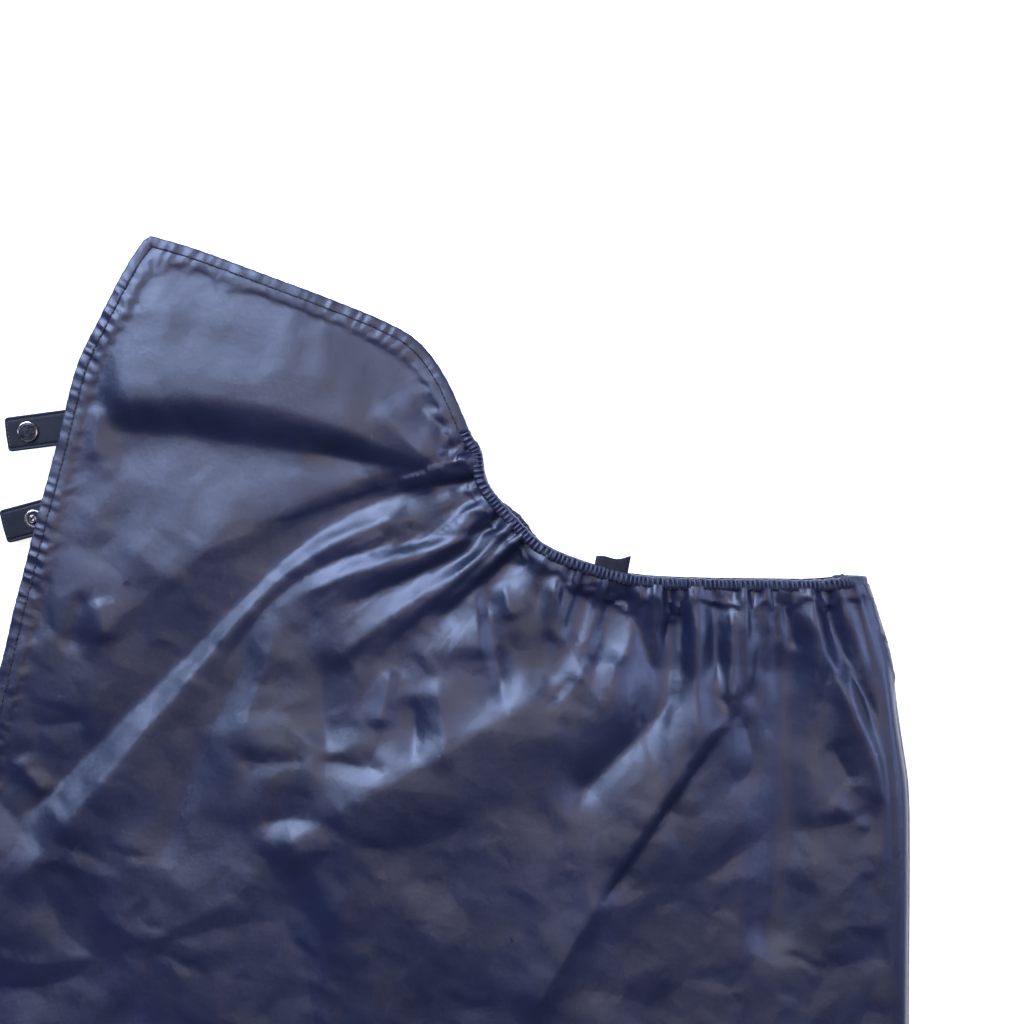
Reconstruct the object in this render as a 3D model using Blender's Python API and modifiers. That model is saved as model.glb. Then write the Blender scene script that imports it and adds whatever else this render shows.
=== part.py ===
"""A lightweight turnout rug, folded in half along its spine and laid flat.

Metres, +Z up. The origin is on the ground under the middle of the folded rug. +Y points to the neck end, the
spine fold is at +X and the belly edge at -X. The off (right) side lies on the ground, outside down, and the
near (left) side lies over it, outside up.
"""

import math

import bmesh
import bpy
from mathutils import Vector

# Driving dimensions.
DEPTH = 0.740  # spine fold to belly edge
LENGTH = 1.400  # chest corner to rear edge
CLOTH = 0.005  # height that one rumpled layer of cloth takes up
GAP = 0.0003  # between pieces that touch
NEAR_LOW = 0.024  # underside of the near side
NEAR_TOP = NEAR_LOW + CLOTH

SPINE_X = DEPTH / 2
BELLY_X = -DEPTH / 2
REAR_Y = -LENGTH / 2

# The spine fold and the hinge that the near side opens about.
FOLD_WALL = 0.002
FOLD_RADIUS = (NEAR_LOW + FOLD_WALL) / 2
FOLD_Z = NEAR_TOP / 2
HINGE = Vector((SPINE_X - FOLD_RADIUS, 0.0, 0.020))

# Edges of the near side: neck hem, gathered withers, spine and chest.
NECK_HEM_LINE = ((-0.180, 0.700), (-0.143, 0.689), (-0.092, 0.670), (-0.049, 0.654), (-0.008, 0.637),
                 (0.016, 0.622), (0.035, 0.596), (0.052, 0.558))
WITHERS_LINE = ((0.053, 0.556), (0.060, 0.545), (0.065, 0.521), (0.087, 0.495), (0.105, 0.478), (0.132, 0.466),
                (0.168, 0.456), (0.210, 0.453), (0.273, 0.452), (0.304, 0.452), (0.334, 0.455))
FOLD_LINE = ((0.339, 0.447), (0.349, 0.412), (0.357, 0.380), (0.364, 0.330), (SPINE_X, 0.264), (SPINE_X, 0.100),
             (SPINE_X, -0.300), (SPINE_X, REAR_Y + 0.004))
REAR_LINE = ((SPINE_X - FOLD_RADIUS - 0.001, REAR_Y), (0.100, REAR_Y), (-0.200, REAR_Y), (-0.290, REAR_Y + 0.004),
             (-0.338, REAR_Y + 0.027), (-0.363, REAR_Y + 0.070), (BELLY_X, REAR_Y + 0.115))
BELLY_LINE = ((BELLY_X, REAR_Y + 0.117), (BELLY_X, -0.400), (BELLY_X, -0.100), (BELLY_X, 0.098))
FRONT_LINE = ((-0.369, 0.105), (-0.360, 0.155), (-0.338, 0.222), (-0.303, 0.320), (-0.274, 0.438), (-0.256, 0.510),
              (-0.246, 0.549), (-0.231, 0.606), (-0.215, 0.639), (-0.196, 0.676), (-0.1815, 0.6985))

HEM = 0.008  # width of a hem
OFF_INSET = 0.009  # how far the off side's hems lie inside the near side's
CASING_WIDTH = 0.007
CASING_WALL = 0.0009
NEAR_CASING_HEIGHT = 0.006
OFF_CASING_HEIGHT = 0.0045
ELASTIC_THICK = 0.0012

STRAP_WIDTH = 0.025
STRAP_THICK = 0.003
STRAP_ROOT = 0.038  # length of a strap's sewn root
STRAP_START = 0.0023  # from the hinge line, so that the strap clears its root as it lifts
NEAR_STRAP_AT = Vector((-0.2507, 0.5605, NEAR_LOW - 0.002))  # hinge line at the hem's edge
NEAR_STRAP_TURN = math.radians(187.6)
NEAR_STRAP_LENGTH = 0.033
NEAR_SNAP_AT = 0.0165  # along the strap from its hinge line
OFF_STRAP_AT = Vector((-0.2583, 0.4982, CLOTH + 0.0018))
OFF_STRAP_TURN = math.radians(195.0)
OFF_STRAP_LENGTH = 0.034
OFF_SNAP_AT = 0.0098
SNAP_HOLE = 0.0024

SURCINGLE_WIDTH = 0.038
SURCINGLE_THICK = 0.0018
SURCINGLE_LENGTH = 0.560
SURCINGLE_Z = CLOTH + 0.0015
SLIDER_WALL = 0.003
FITTING_THICK = 0.0025
SURCINGLES = (("front", -0.020, math.radians(7.0)), ("rear", -0.330, math.radians(-7.0)))

NAVY = (0.030, 0.040, 0.105)
NAVY_DARK = (0.020, 0.026, 0.070)
BLACK = (0.015, 0.015, 0.018)
NICKEL = (0.68, 0.66, 0.62)
GUNMETAL = (0.16, 0.16, 0.17)


# Materials and placing.

def material(name, colour, roughness, metallic=0.0):
    """A plain Principled material, made once."""
    made = bpy.data.materials.get(name) or bpy.data.materials.new(name)
    made.use_nodes = True
    shader = made.node_tree.nodes["Principled BSDF"]
    shader.inputs["Base Color"].default_value = (*colour, 1.0)
    shader.inputs["Roughness"].default_value = roughness
    shader.inputs["Metallic"].default_value = metallic
    return made


def clear_scene():
    for obj in list(bpy.data.objects):
        bpy.data.objects.remove(obj, do_unlink=True)


def collection(name, hidden=False):
    made = bpy.data.collections.new(name)
    bpy.context.scene.collection.children.link(made)
    made.hide_render = hidden
    return made


def place(obj, into, parent=None, finish=None):
    """Links the object, gives it its material and hangs it on its body's pivot where it stands."""
    into.objects.link(obj)
    if finish:
        obj.data.materials.append(finish)
    if parent:
        obj.parent = parent
        obj.matrix_parent_inverse = parent.matrix_world.inverted()
    return obj


def pivot(name, at, turn, into, parent=None):
    """An empty on a joint's axis, turned about Z to face along its piece."""
    empty = bpy.data.objects.new(name, None)
    empty.location = at
    empty.rotation_euler = (0.0, 0.0, turn)
    empty.empty_display_size = 0.02
    place(empty, into, parent)
    bpy.context.view_layer.update()
    return empty


# Curves through plan points.

def smooth(points, per_span=4):
    """Points along a Catmull-Rom curve through the given plan points."""
    ends = [2 * Vector(points[0]) - Vector(points[1])]
    ends += [Vector(p) for p in points]
    ends.append(2 * Vector(points[-1]) - Vector(points[-2]))
    path = []
    for i in range(1, len(ends) - 2):
        a, b, c, d = ends[i - 1 : i + 3]
        for step in range(per_span):
            t = step / per_span
            path.append(0.5 * (2 * b + (c - a) * t + (2 * a - 5 * b + 4 * c - d) * t * t
                               + (3 * b - a - 3 * c + d) * t ** 3))
    path.append(ends[-2])
    return path


def beside(path, distance):
    """The path moved sideways, to the right of its direction where the distance is positive."""
    moved = []
    for i, point in enumerate(path):
        along = path[min(i + 1, len(path) - 1)] - path[max(i - 1, 0)]
        along.normalize()
        moved.append(point + distance * Vector((along.y, -along.x)))
    return moved


def trimmed(path, first, last):
    """The path without the given lengths at its two ends."""
    lengths = [0.0]
    for a, b in zip(path, path[1:]):
        lengths.append(lengths[-1] + (b - a).length)
    stop = lengths[-1] - last

    def at(distance):
        i = max(k for k, value in enumerate(lengths[:-1]) if value <= distance)
        return path[i].lerp(path[i + 1], (distance - lengths[i]) / (lengths[i + 1] - lengths[i]))

    inside = [point for point, value in zip(path, lengths) if first + GAP < value < stop - GAP]
    return [at(first)] + inside + [at(stop)]


def strip(path, inner, outer):
    """A closed outline between two lines beside the path."""
    return beside(path, inner) + list(reversed(beside(path, outer)))


# Shapes.

def flat_piece(name, outline, low, high, holes=()):
    """A filled outline between two heights."""
    curve = bpy.data.curves.new(name, "CURVE")
    curve.dimensions = "2D"
    curve.fill_mode = "BOTH"
    curve.extrude = (high - low) / 2
    for ring in (outline, *holes):
        spline = curve.splines.new("POLY")
        spline.points.add(len(ring) - 1)
        for target, point in zip(spline.points, ring):
            target.co = (point[0], point[1], 0.0, 1.0)
        spline.use_cyclic_u = True
    obj = bpy.data.objects.new(name, curve)
    obj.location.z = (high + low) / 2
    return obj


def section_curve(name, points, into):
    """A closed cross-section for a swept piece."""
    curve = bpy.data.curves.new(name, "CURVE")
    curve.dimensions = "2D"
    spline = curve.splines.new("POLY")
    spline.points.add(len(points) - 1)
    for target, point in zip(spline.points, points):
        target.co = (point[0], point[1], 0.0, 1.0)
    spline.use_cyclic_u = True
    obj = bpy.data.objects.new(name, curve)
    obj.hide_render = True
    obj.display_type = "WIRE"
    into.objects.link(obj)
    return obj


def swept_piece(name, path, height, section):
    """A cross-section carried along a level path."""
    curve = bpy.data.curves.new(name, "CURVE")
    curve.dimensions = "3D"
    curve.twist_mode = "Z_UP"
    curve.bevel_mode = "OBJECT"
    curve.bevel_object = section
    curve.use_fill_caps = True
    spline = curve.splines.new("POLY")
    spline.points.add(len(path) - 1)
    for target, point in zip(spline.points, path):
        target.co = (point[0], point[1], 0.0, 1.0)
    obj = bpy.data.objects.new(name, curve)
    obj.location.z = height
    return obj


def turned_piece(name, profile, segments=32):
    """A profile of (radius, height) turned about Z. It runs down the outer side."""
    mesh = bpy.data.meshes.new(name)
    grid = bmesh.new()
    points = [grid.verts.new((radius, 0.0, height)) for radius, height in profile]
    for first, second in zip(points, points[1:]):
        grid.edges.new((first, second))
    grid.to_mesh(mesh)
    grid.free()
    obj = bpy.data.objects.new(name, mesh)
    screw = obj.modifiers.new("Turn", "SCREW")
    screw.steps = segments
    screw.render_steps = segments
    screw.use_merge_vertices = True
    screw.merge_threshold = 0.00001
    screw.use_smooth_shade = True
    return obj


def ring_outline(radius, count=24, centre=(0.0, 0.0)):
    turn = 2 * math.pi / count
    return [(centre[0] + radius * math.cos(i * turn), centre[1] + radius * math.sin(i * turn)) for i in range(count)]


def rounded_box(x_low, x_high, half_width, radius, steps=5):
    """Outline of a rounded rectangle along X, anticlockwise."""
    outline = []
    corners = ((x_high - radius, half_width - radius, 0.0), (x_low + radius, half_width - radius, 90.0),
               (x_low + radius, radius - half_width, 180.0), (x_high - radius, radius - half_width, 270.0))
    for x, y, start in corners:
        for i in range(steps + 1):
            angle = math.radians(start + 90.0 * i / steps)
            outline.append((x + radius * math.cos(angle), y + radius * math.sin(angle)))
    return outline


def fold_section(width, height, wall):
    """A fold of cloth that is open to one side: a U lying on its side, its bend towards -X."""
    outer, inner = [], []
    steps = 6
    for i in range(steps + 1):
        angle = math.radians(90.0 + 180.0 * i / steps)
        outer.append((height / 2 * math.cos(angle), height / 2 * math.sin(angle)))
        bend = height / 2 - wall
        inner.append((bend * math.cos(angle), bend * math.sin(angle)))
    reach = width - height / 2
    outer = [(reach, height / 2)] + outer + [(reach, -height / 2)]
    inner = [(reach, height / 2 - wall)] + inner + [(reach, wall - height / 2)]
    return inner + list(reversed(outer))


# The rug's two sides.

class SideLayout:
    """Where the edges and heights of one side of the rug are."""

    def __init__(self, side, low, inset, casing_height, casing_out):
        self.side = side
        self.low = low
        self.high = low + CLOTH
        self.inset = inset
        self.casing_height = casing_height
        self.casing_out = casing_out


def make_panel(layout, into, parent, cloth):
    hem = layout.inset + HEM + GAP
    neck = trimmed(beside(smooth(NECK_HEM_LINE), hem), hem, 2 * HEM)
    withers = trimmed(beside(smooth(WITHERS_LINE, 3), CASING_WIDTH + 2 * GAP - layout.casing_out), HEM, FOLD_RADIUS)
    spine = trimmed(beside(smooth(FOLD_LINE, 3), FOLD_RADIUS + GAP), HEM, hem)
    rear = trimmed(beside(smooth(REAR_LINE), hem), GAP, 0.001)
    belly = beside(smooth(BELLY_LINE, 2), hem)
    front = trimmed(beside(smooth(FRONT_LINE), hem), 0.001, hem)
    outline = list(reversed(neck + withers + spine + rear + belly + front))
    panel = flat_piece(f"{layout.side}_side_panel", outline, layout.low, layout.high)
    return place(panel, into, parent, cloth)


def make_hems(layout, into, parent, cloth):
    """The four turned and stitched edges: neck, front, belly and rear."""
    corner = 2.5 * HEM
    trims = {
        "neck": trimmed(smooth(NECK_HEM_LINE), HEM / 2, corner),
        "front": trimmed(smooth(FRONT_LINE), HEM / 2, corner),
        "belly": trimmed(smooth(BELLY_LINE, 2), HEM / 2, HEM / 2),
        "rear": trimmed(smooth(REAR_LINE), GAP, HEM / 2),
    }
    for name, path in trims.items():
        outline = strip(path, layout.inset + HEM, layout.inset)
        hem = flat_piece(f"{layout.side}_{name}_hem", outline, layout.low, layout.high)
        place(hem, into, parent, cloth)


def make_casing(layout, into, guides, parent, cloth, rubber):
    """The gathered edge: a folded casing and the flat elastic inside it."""
    path = beside(smooth(WITHERS_LINE, 3), layout.casing_height / 2 - layout.casing_out)
    path = trimmed(path, HEM, 0.005)
    middle = layout.low + layout.casing_height / 2
    section = section_curve(f"{layout.side}_casing_section",
                            fold_section(CASING_WIDTH, layout.casing_height, CASING_WALL), guides)
    casing = swept_piece(f"{layout.side}_neck_casing", path, middle, section)
    place(casing, into, parent, cloth)
    band_path = trimmed(beside(smooth(WITHERS_LINE, 3), -layout.casing_out), HEM, 0.005)
    outline = strip(band_path, CASING_WIDTH - GAP, CASING_WALL + layout.casing_height / 2)
    half = ELASTIC_THICK / 2
    band = flat_piece(f"{layout.side}_neck_elastic", outline, middle - half, middle + half)
    place(band, into, parent, rubber)


def make_spine(into, guides, cloth):
    """The cloth's turn over the back, and the casing's turn at its neck end."""
    path = beside(smooth(FOLD_LINE, 3), FOLD_RADIUS)
    casing = CASING_WIDTH + GAP
    length = sum((b - a).length for a, b in zip(path, path[1:]))
    section = section_curve("spine_section", fold_section(FOLD_RADIUS, 2 * FOLD_RADIUS, FOLD_WALL), guides)
    fold = swept_piece("spine_fold", trimmed(path, casing + GAP, GAP), FOLD_Z, section)
    place(fold, into, None, cloth)
    turn = swept_piece("withers_casing_turn", trimmed(path, GAP, length - casing), FOLD_Z, section)
    place(turn, into, None, cloth)


def make_withers_tab(into, parent, cloth):
    """A small folded loop of cloth behind the casing."""
    outline = ((0.140, 0.4560), (0.166, 0.4500), (0.1675, 0.4570), (0.1625, 0.4685), (0.1510, 0.4675), (0.1400, 0.4650))
    tab = flat_piece("withers_tab", outline, NEAR_LOW - 0.0025, NEAR_LOW - GAP)
    place(tab, into, parent, cloth)


# Chest straps and their press studs.

CAP_PROFILE = ((0.0, 0.0022), (0.0060, 0.0022), (0.0063, 0.0025), (0.0069, 0.0024), (0.0074, 0.0017),
               (0.0075, 0.0011), (0.0073, 0.0005), (0.0067, 0.0003), (0.0018, 0.0003), (0.0018, -0.0048), (0.0, -0.0048))
SOCKET_PROFILE = ((0.0021, -0.0003), (0.0058, -0.0003), (0.0062, -0.0008), (0.0058, -0.0014), (0.0048, -0.0018),
                  (0.0046, -0.0036), (0.0038, -0.0038), (0.0036, -0.0022), (0.0021, -0.0020), (0.0021, -0.0003))
STUD_PROFILE = ((0.0021, 0.0036), (0.0026, 0.0039), (0.0032, 0.0036), (0.0034, 0.0029), (0.0031, 0.0016),
                (0.0044, 0.0012), (0.0056, 0.0013), (0.0062, 0.0008), (0.0058, 0.0003), (0.0021, 0.0003),
                (0.0021, 0.0036))
POST_PROFILE = ((0.0, 0.0030), (0.0018, 0.0030), (0.0018, -0.0003), (0.0052, -0.0003), (0.0055, -0.0007),
                (0.0051, -0.0011), (0.0, -0.0011))


def make_strap(name, length, snap_at, into, empty, cloth):
    """A flat strap along the pivot's X, with a hole for its press stud."""
    hole = ring_outline(SNAP_HOLE, 16, (snap_at, 0.0))
    outline = rounded_box(STRAP_START, length, STRAP_WIDTH / 2, 0.003)
    strap = flat_piece(name, outline, -STRAP_THICK / 2, STRAP_THICK / 2, [hole])
    strap.parent = empty
    place(strap, into, None, cloth)


def make_strap_patch(name, turn, at, low, high, into, parent, cloth):
    """The sewn root of a strap, on the inside of its hem."""
    patch = flat_piece(name, rounded_box(-STRAP_ROOT, -GAP, STRAP_WIDTH / 2, 0.002), low, high)
    patch.location.x = at.x
    patch.location.y = at.y
    patch.rotation_euler.z = turn
    place(patch, into, parent, cloth)


def make_snap_half(name, profile, snap_at, height, into, empty, metal):
    piece = turned_piece(name, profile)
    piece.location = (snap_at, 0.0, height)
    piece.parent = empty
    place(piece, into, None, metal)


def make_chest_closure(into, near_empty, cloth, nickel, gunmetal):
    """The near strap with its cap and socket, and the off strap with its stud and post."""
    top = STRAP_THICK / 2
    near_strap = pivot("near_chest_strap_pivot", NEAR_STRAP_AT, NEAR_STRAP_TURN, into, near_empty)
    make_strap("near_chest_strap", NEAR_STRAP_LENGTH, NEAR_SNAP_AT, into, near_strap, cloth)
    make_snap_half("snap_cap", CAP_PROFILE, NEAR_SNAP_AT, top, into, near_strap, gunmetal)
    make_snap_half("snap_socket", SOCKET_PROFILE, NEAR_SNAP_AT, -top, into, near_strap, nickel)
    make_strap_patch("near_strap_patch", NEAR_STRAP_TURN, NEAR_STRAP_AT, NEAR_STRAP_AT.z - top,
                     NEAR_LOW - GAP, into, near_empty, cloth)

    off_strap = pivot("off_chest_strap_pivot", OFF_STRAP_AT, OFF_STRAP_TURN, into)
    make_strap("off_chest_strap", OFF_STRAP_LENGTH, OFF_SNAP_AT, into, off_strap, cloth)
    make_snap_half("snap_stud", STUD_PROFILE, OFF_SNAP_AT, top, into, off_strap, nickel)
    make_snap_half("snap_post", POST_PROFILE, OFF_SNAP_AT, -top, into, off_strap, nickel)
    make_strap_patch("off_strap_patch", OFF_STRAP_TURN, OFF_STRAP_AT, CLOTH + GAP,
                     CLOTH + GAP + STRAP_THICK, into, None, cloth)


# Belly surcingles, tucked flat between the two sides.

def hook_outline():
    """A T-shaped hook plate along X."""
    return ((0.000, -0.023), (0.016, -0.023), (0.020, -0.012), (0.026, -0.006), (0.036, -0.006), (0.036, -0.013),
            (0.044, -0.013), (0.046, -0.010), (0.046, 0.010), (0.044, 0.013), (0.036, 0.013), (0.036, 0.006),
            (0.026, 0.006), (0.020, 0.012), (0.016, 0.023), (0.000, 0.023))


def make_surcingle(end, belly_y, turn, into, near_empty, webbing, nickel):
    """One surcingle: strap, slider and hook on the off side, tab and eye plate on the near side."""
    root = pivot(f"{end}_surcingle_root", (BELLY_X + 0.030, belly_y, SURCINGLE_Z), turn, into)
    strap = flat_piece(f"{end}_surcingle_strap", rounded_box(0.0, SURCINGLE_LENGTH, SURCINGLE_WIDTH / 2, 0.002, 2),
                       GAP, GAP + SURCINGLE_THICK)
    strap.parent = root
    place(strap, into, None, webbing)

    hook = flat_piece(f"{end}_surcingle_hook", hook_outline(), GAP, GAP + FITTING_THICK)
    hook.parent = root
    hook.location.x = SURCINGLE_LENGTH + GAP
    place(hook, into, None, nickel)

    slider_at = pivot(f"{end}_slider_pivot", (SURCINGLE_LENGTH * 0.45, 0.0, 0.0), 0.0, into)
    slider_at.parent = root
    make_slider(f"{end}_surcingle_slider", into, slider_at, nickel)

    tab_root = pivot(f"{end}_eye_root", (BELLY_X + 0.012 + HEM, belly_y + 0.130, 0.0), 0.0, into, near_empty)
    tab_low = NEAR_LOW - GAP - SURCINGLE_THICK
    tab = flat_piece(f"{end}_eye_tab", rounded_box(0.0, 0.040, SURCINGLE_WIDTH / 2, 0.002, 2), tab_low, NEAR_LOW - GAP)
    tab.location.x = tab_root.location.x
    tab.location.y = tab_root.location.y
    place(tab, into, near_empty, webbing)
    slot = rounded_box(0.0085, 0.0155, 0.0165, 0.002, 3)
    eye = flat_piece(f"{end}_eye_plate", rounded_box(0.0, 0.022, 0.024, 0.004, 4), tab_low - FITTING_THICK, tab_low - GAP,
                     [slot])
    eye.location.x = tab_root.location.x + 0.014
    eye.location.y = tab_root.location.y
    place(eye, into, near_empty, nickel)


def make_slider(name, into, empty, metal):
    """A flat ring that the strap runs through: a block with the strap's slot cut along it."""
    half_width = SURCINGLE_WIDTH / 2 + GAP
    height = SURCINGLE_THICK + 2 * GAP
    wall = 0.0010
    outer = rounded_box(-half_width - SLIDER_WALL, half_width + SLIDER_WALL, height / 2 + wall, 0.0008, 2)
    inner = [(-half_width, -height / 2), (half_width, -height / 2), (half_width, height / 2), (-half_width, height / 2)]
    ring = flat_piece(name, outer, -0.009, 0.009, [inner])
    ring.rotation_euler = (math.pi / 2, 0.0, math.pi / 2)
    ring.location = (0.0, 0.0, GAP + SURCINGLE_THICK / 2)
    ring.parent = empty
    place(ring, into, None, metal)


def main():
    clear_scene()
    parts = collection("turnout_rug")
    guides = collection("guides", hidden=True)
    cloth = material("navy_taffeta", NAVY, 0.38)
    trim = material("navy_trim", NAVY_DARK, 0.45)
    webbing = material("black_webbing", BLACK, 0.7)
    rubber = material("elastic", BLACK, 0.8)
    nickel = material("nickel", NICKEL, 0.22, 1.0)
    gunmetal = material("gunmetal", GUNMETAL, 0.35, 1.0)

    near_empty = pivot("near_side_pivot", HINGE, 0.0, parts)
    near = SideLayout("near", NEAR_LOW, 0.0, NEAR_CASING_HEIGHT, 0.0)
    off = SideLayout("off", 0.0, OFF_INSET, OFF_CASING_HEIGHT, 0.003)
    for layout, parent in ((near, near_empty), (off, None)):
        make_panel(layout, parts, parent, cloth)
        make_hems(layout, parts, parent, trim)
        make_casing(layout, parts, guides, parent, trim, rubber)
    make_spine(parts, guides, cloth)
    make_withers_tab(parts, near_empty, trim)
    make_chest_closure(parts, near_empty, trim, nickel, gunmetal)
    for end, belly_y, turn in SURCINGLES:
        make_surcingle(end, belly_y, turn, parts, near_empty, webbing, nickel)


main()
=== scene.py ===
"""Looks of a lightweight turnout rug, folded along its spine and laid flat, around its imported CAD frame.

Metres, +Z up, in the frame's own axes: +Y is the neck end, +X the spine fold, -X the belly edge. The off side
lies on the ground and the near side lies over it. Cloth, hems, gathered casings, straps and press studs are
modelled here; the sliders, hooks and eye plates keep their CAD meshes and get a finish.
"""

import logging
import math
from collections.abc import Callable, Sequence
from dataclasses import dataclass, field
from enum import Enum

import bpy
import numpy as np
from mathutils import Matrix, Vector


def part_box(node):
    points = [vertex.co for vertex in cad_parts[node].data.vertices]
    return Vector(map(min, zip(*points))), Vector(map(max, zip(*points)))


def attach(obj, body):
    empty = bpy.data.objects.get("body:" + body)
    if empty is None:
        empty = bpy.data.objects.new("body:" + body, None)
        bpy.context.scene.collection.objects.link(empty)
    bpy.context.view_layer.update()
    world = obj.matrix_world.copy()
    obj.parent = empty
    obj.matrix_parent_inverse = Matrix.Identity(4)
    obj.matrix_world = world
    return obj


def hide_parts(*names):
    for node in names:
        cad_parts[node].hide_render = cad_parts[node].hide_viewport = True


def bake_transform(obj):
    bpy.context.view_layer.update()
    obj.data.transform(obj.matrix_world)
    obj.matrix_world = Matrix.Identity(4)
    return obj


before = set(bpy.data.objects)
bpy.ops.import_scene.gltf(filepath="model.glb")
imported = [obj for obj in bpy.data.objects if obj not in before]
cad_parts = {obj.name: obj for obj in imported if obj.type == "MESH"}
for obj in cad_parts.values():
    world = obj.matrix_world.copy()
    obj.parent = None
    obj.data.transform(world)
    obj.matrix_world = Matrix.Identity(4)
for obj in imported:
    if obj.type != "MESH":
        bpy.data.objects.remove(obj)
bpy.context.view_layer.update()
LOG = logging.getLogger("turnout_rug")

Plan = Sequence[tuple[float, float]]
Heights = Callable[[np.ndarray, np.ndarray], np.ndarray]

# Edges of the near side, clockwise from the neck corner, as in the CAD model.
NECK_HEM_LINE: Plan = ((-0.180, 0.700), (-0.143, 0.689), (-0.092, 0.670), (-0.049, 0.654), (-0.008, 0.637),
                       (0.016, 0.622), (0.035, 0.596), (0.052, 0.558))
WITHERS_LINE: Plan = ((0.053, 0.556), (0.060, 0.545), (0.065, 0.521), (0.087, 0.495), (0.105, 0.478),
                      (0.132, 0.466), (0.168, 0.456), (0.210, 0.453), (0.273, 0.452), (0.304, 0.452),
                      (0.334, 0.455))
FOLD_LINE: Plan = ((0.339, 0.447), (0.349, 0.412), (0.357, 0.380), (0.364, 0.330), (0.370, 0.264),
                   (0.370, 0.100), (0.370, -0.300), (0.370, -0.696))
REAR_LINE: Plan = ((0.356, -0.700), (0.100, -0.700), (-0.200, -0.700), (-0.290, -0.696), (-0.338, -0.673),
                   (-0.363, -0.630), (-0.370, -0.585))
BELLY_LINE: Plan = ((-0.370, -0.583), (-0.370, -0.400), (-0.370, -0.100), (-0.370, 0.098))
FRONT_LINE: Plan = ((-0.369, 0.105), (-0.360, 0.155), (-0.338, 0.222), (-0.303, 0.320), (-0.274, 0.438),
                    (-0.256, 0.510), (-0.246, 0.549), (-0.231, 0.606), (-0.215, 0.639), (-0.196, 0.676),
                    (-0.1815, 0.6985))

FOLD_RADIUS = 0.013  # of the cloth's turn round the spine
FOLD_MIDDLE = 0.0145  # height of that turn's centre
HEM = 0.008
OFF_INSET = 0.009  # how far the off side's hems lie inside the near side's
CASING_WIDTH = 0.0085
CASING_START = (0.0490, 0.5650)  # the casing runs this far over the end of the neck hem
CASING_END = 0.0065  # length at the spine that is left to the casing's turn


# Small helpers.

def deselect() -> None:
    """Deselects everything, the CAD nodes included."""
    if bpy.context.mode != "OBJECT":
        bpy.ops.object.mode_set(mode="OBJECT")
    bpy.ops.object.select_all(action="DESELECT")


def activate(obj: bpy.types.Object) -> None:
    """Makes one object the only selected and active one.

    Args:
        obj: The object.
    """
    deselect()
    obj.select_set(True)
    bpy.context.view_layer.objects.active = obj


def read_points(obj: bpy.types.Object) -> np.ndarray:
    """The mesh's points, one row each.

    Args:
        obj: The mesh.

    Returns:
        Their places, in metres.
    """
    points = np.empty(len(obj.data.vertices) * 3)
    obj.data.vertices.foreach_get("co", points)
    return points.reshape(-1, 3)


def write_points(obj: bpy.types.Object, points: np.ndarray) -> None:
    """Moves the mesh's points to the rows given."""
    obj.data.vertices.foreach_set("co", np.ascontiguousarray(points, np.float64).ravel())
    obj.data.update()


def finish_modifier(obj: bpy.types.Object, kind: str, **settings: object) -> None:
    """Adds a modifier with these settings and applies it.

    Args:
        obj: The mesh to change.
        kind: Blender's name of the modifier type.
        settings: Values of the modifier's own properties.
    """
    modifier = obj.modifiers.new(kind.title(), kind)
    for key, value in settings.items():
        setattr(modifier, key, value)
    activate(obj)
    bpy.ops.object.modifier_apply(modifier=modifier.name)


def shade_smooth(obj: bpy.types.Object, degrees: float = 50.0) -> None:
    """Shades an object smooth, with edges sharper than the angle left crisp."""
    activate(obj)
    bpy.ops.object.shade_smooth_by_angle(angle=math.radians(degrees))


def close_mesh(obj: bpy.types.Object, distance: float = 1e-6) -> None:
    """Merges doubled points and turns all faces outwards.

    Args:
        obj: The mesh.
        distance: How near two points have to be to merge.
    """
    activate(obj)
    bpy.ops.object.mode_set(mode="EDIT")
    bpy.ops.mesh.select_all(action="SELECT")
    bpy.ops.mesh.remove_doubles(threshold=distance)
    bpy.ops.mesh.dissolve_degenerate(threshold=distance)
    bpy.ops.mesh.normals_make_consistent(inside=False)
    bpy.ops.object.mode_set(mode="OBJECT")


def cloth_grid(name: str, across: int, along: int) -> bpy.types.Object:
    """A flat grid from 0 to 1 both ways, ready to be laid onto a surface.

    Args:
        name: Name of the piece.
        across: Number of cells along X.
        along: Number of cells along Y.

    Returns:
        The new object, at the origin.
    """
    deselect()
    bpy.ops.mesh.primitive_grid_add(x_subdivisions=across, y_subdivisions=along, size=1.0,
                                    location=(0.5, 0.5, 0.0))
    obj = bpy.context.object
    obj.name = name
    bpy.ops.object.transform_apply(location=True, rotation=True, scale=True)
    return obj


def smoothstep(value: np.ndarray) -> np.ndarray:
    """Eases from 0 to 1."""
    t = np.clip(value, 0.0, 1.0)
    return t * t * (3.0 - 2.0 * t)


def squared_off(wave: np.ndarray, power: float) -> np.ndarray:
    """A wave with its signs kept and its sizes raised to a power; one below 1 makes it fuller."""
    return np.sign(wave) * np.abs(wave) ** power


def closed_ends(length: np.ndarray, whole: float, over: float) -> np.ndarray:
    """Eases up from 0 at the start and back to 0 at the end, each over the same stretch."""
    return smoothstep(length / over) * smoothstep((whole - length) / over)


def wave_shift(draws: np.random.Generator) -> float:
    """A random shift of a wave, anywhere in its turn."""
    return draws.uniform(0.0, 6.28)


def drifting_phase(along: np.ndarray, pitch: float, harmonics: Sequence[float], drift: float,
                   draws: np.random.Generator) -> np.ndarray:
    """The phase of a row of waves whose spacing wanders.

    Args:
        along: Length along the row.
        pitch: Mean length of a wave.
        harmonics: Rates of the wandering, as shares of the row's own.
        drift: How far each of them moves the phase.
        draws: Where their shifts are drawn from.

    Returns:
        The phase at each length.
    """
    phase = 2 * math.pi * along / pitch
    for harmonic in harmonics:
        phase = phase + drift * np.sin(2 * math.pi * along / pitch * harmonic + wave_shift(draws))
    return phase


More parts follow.
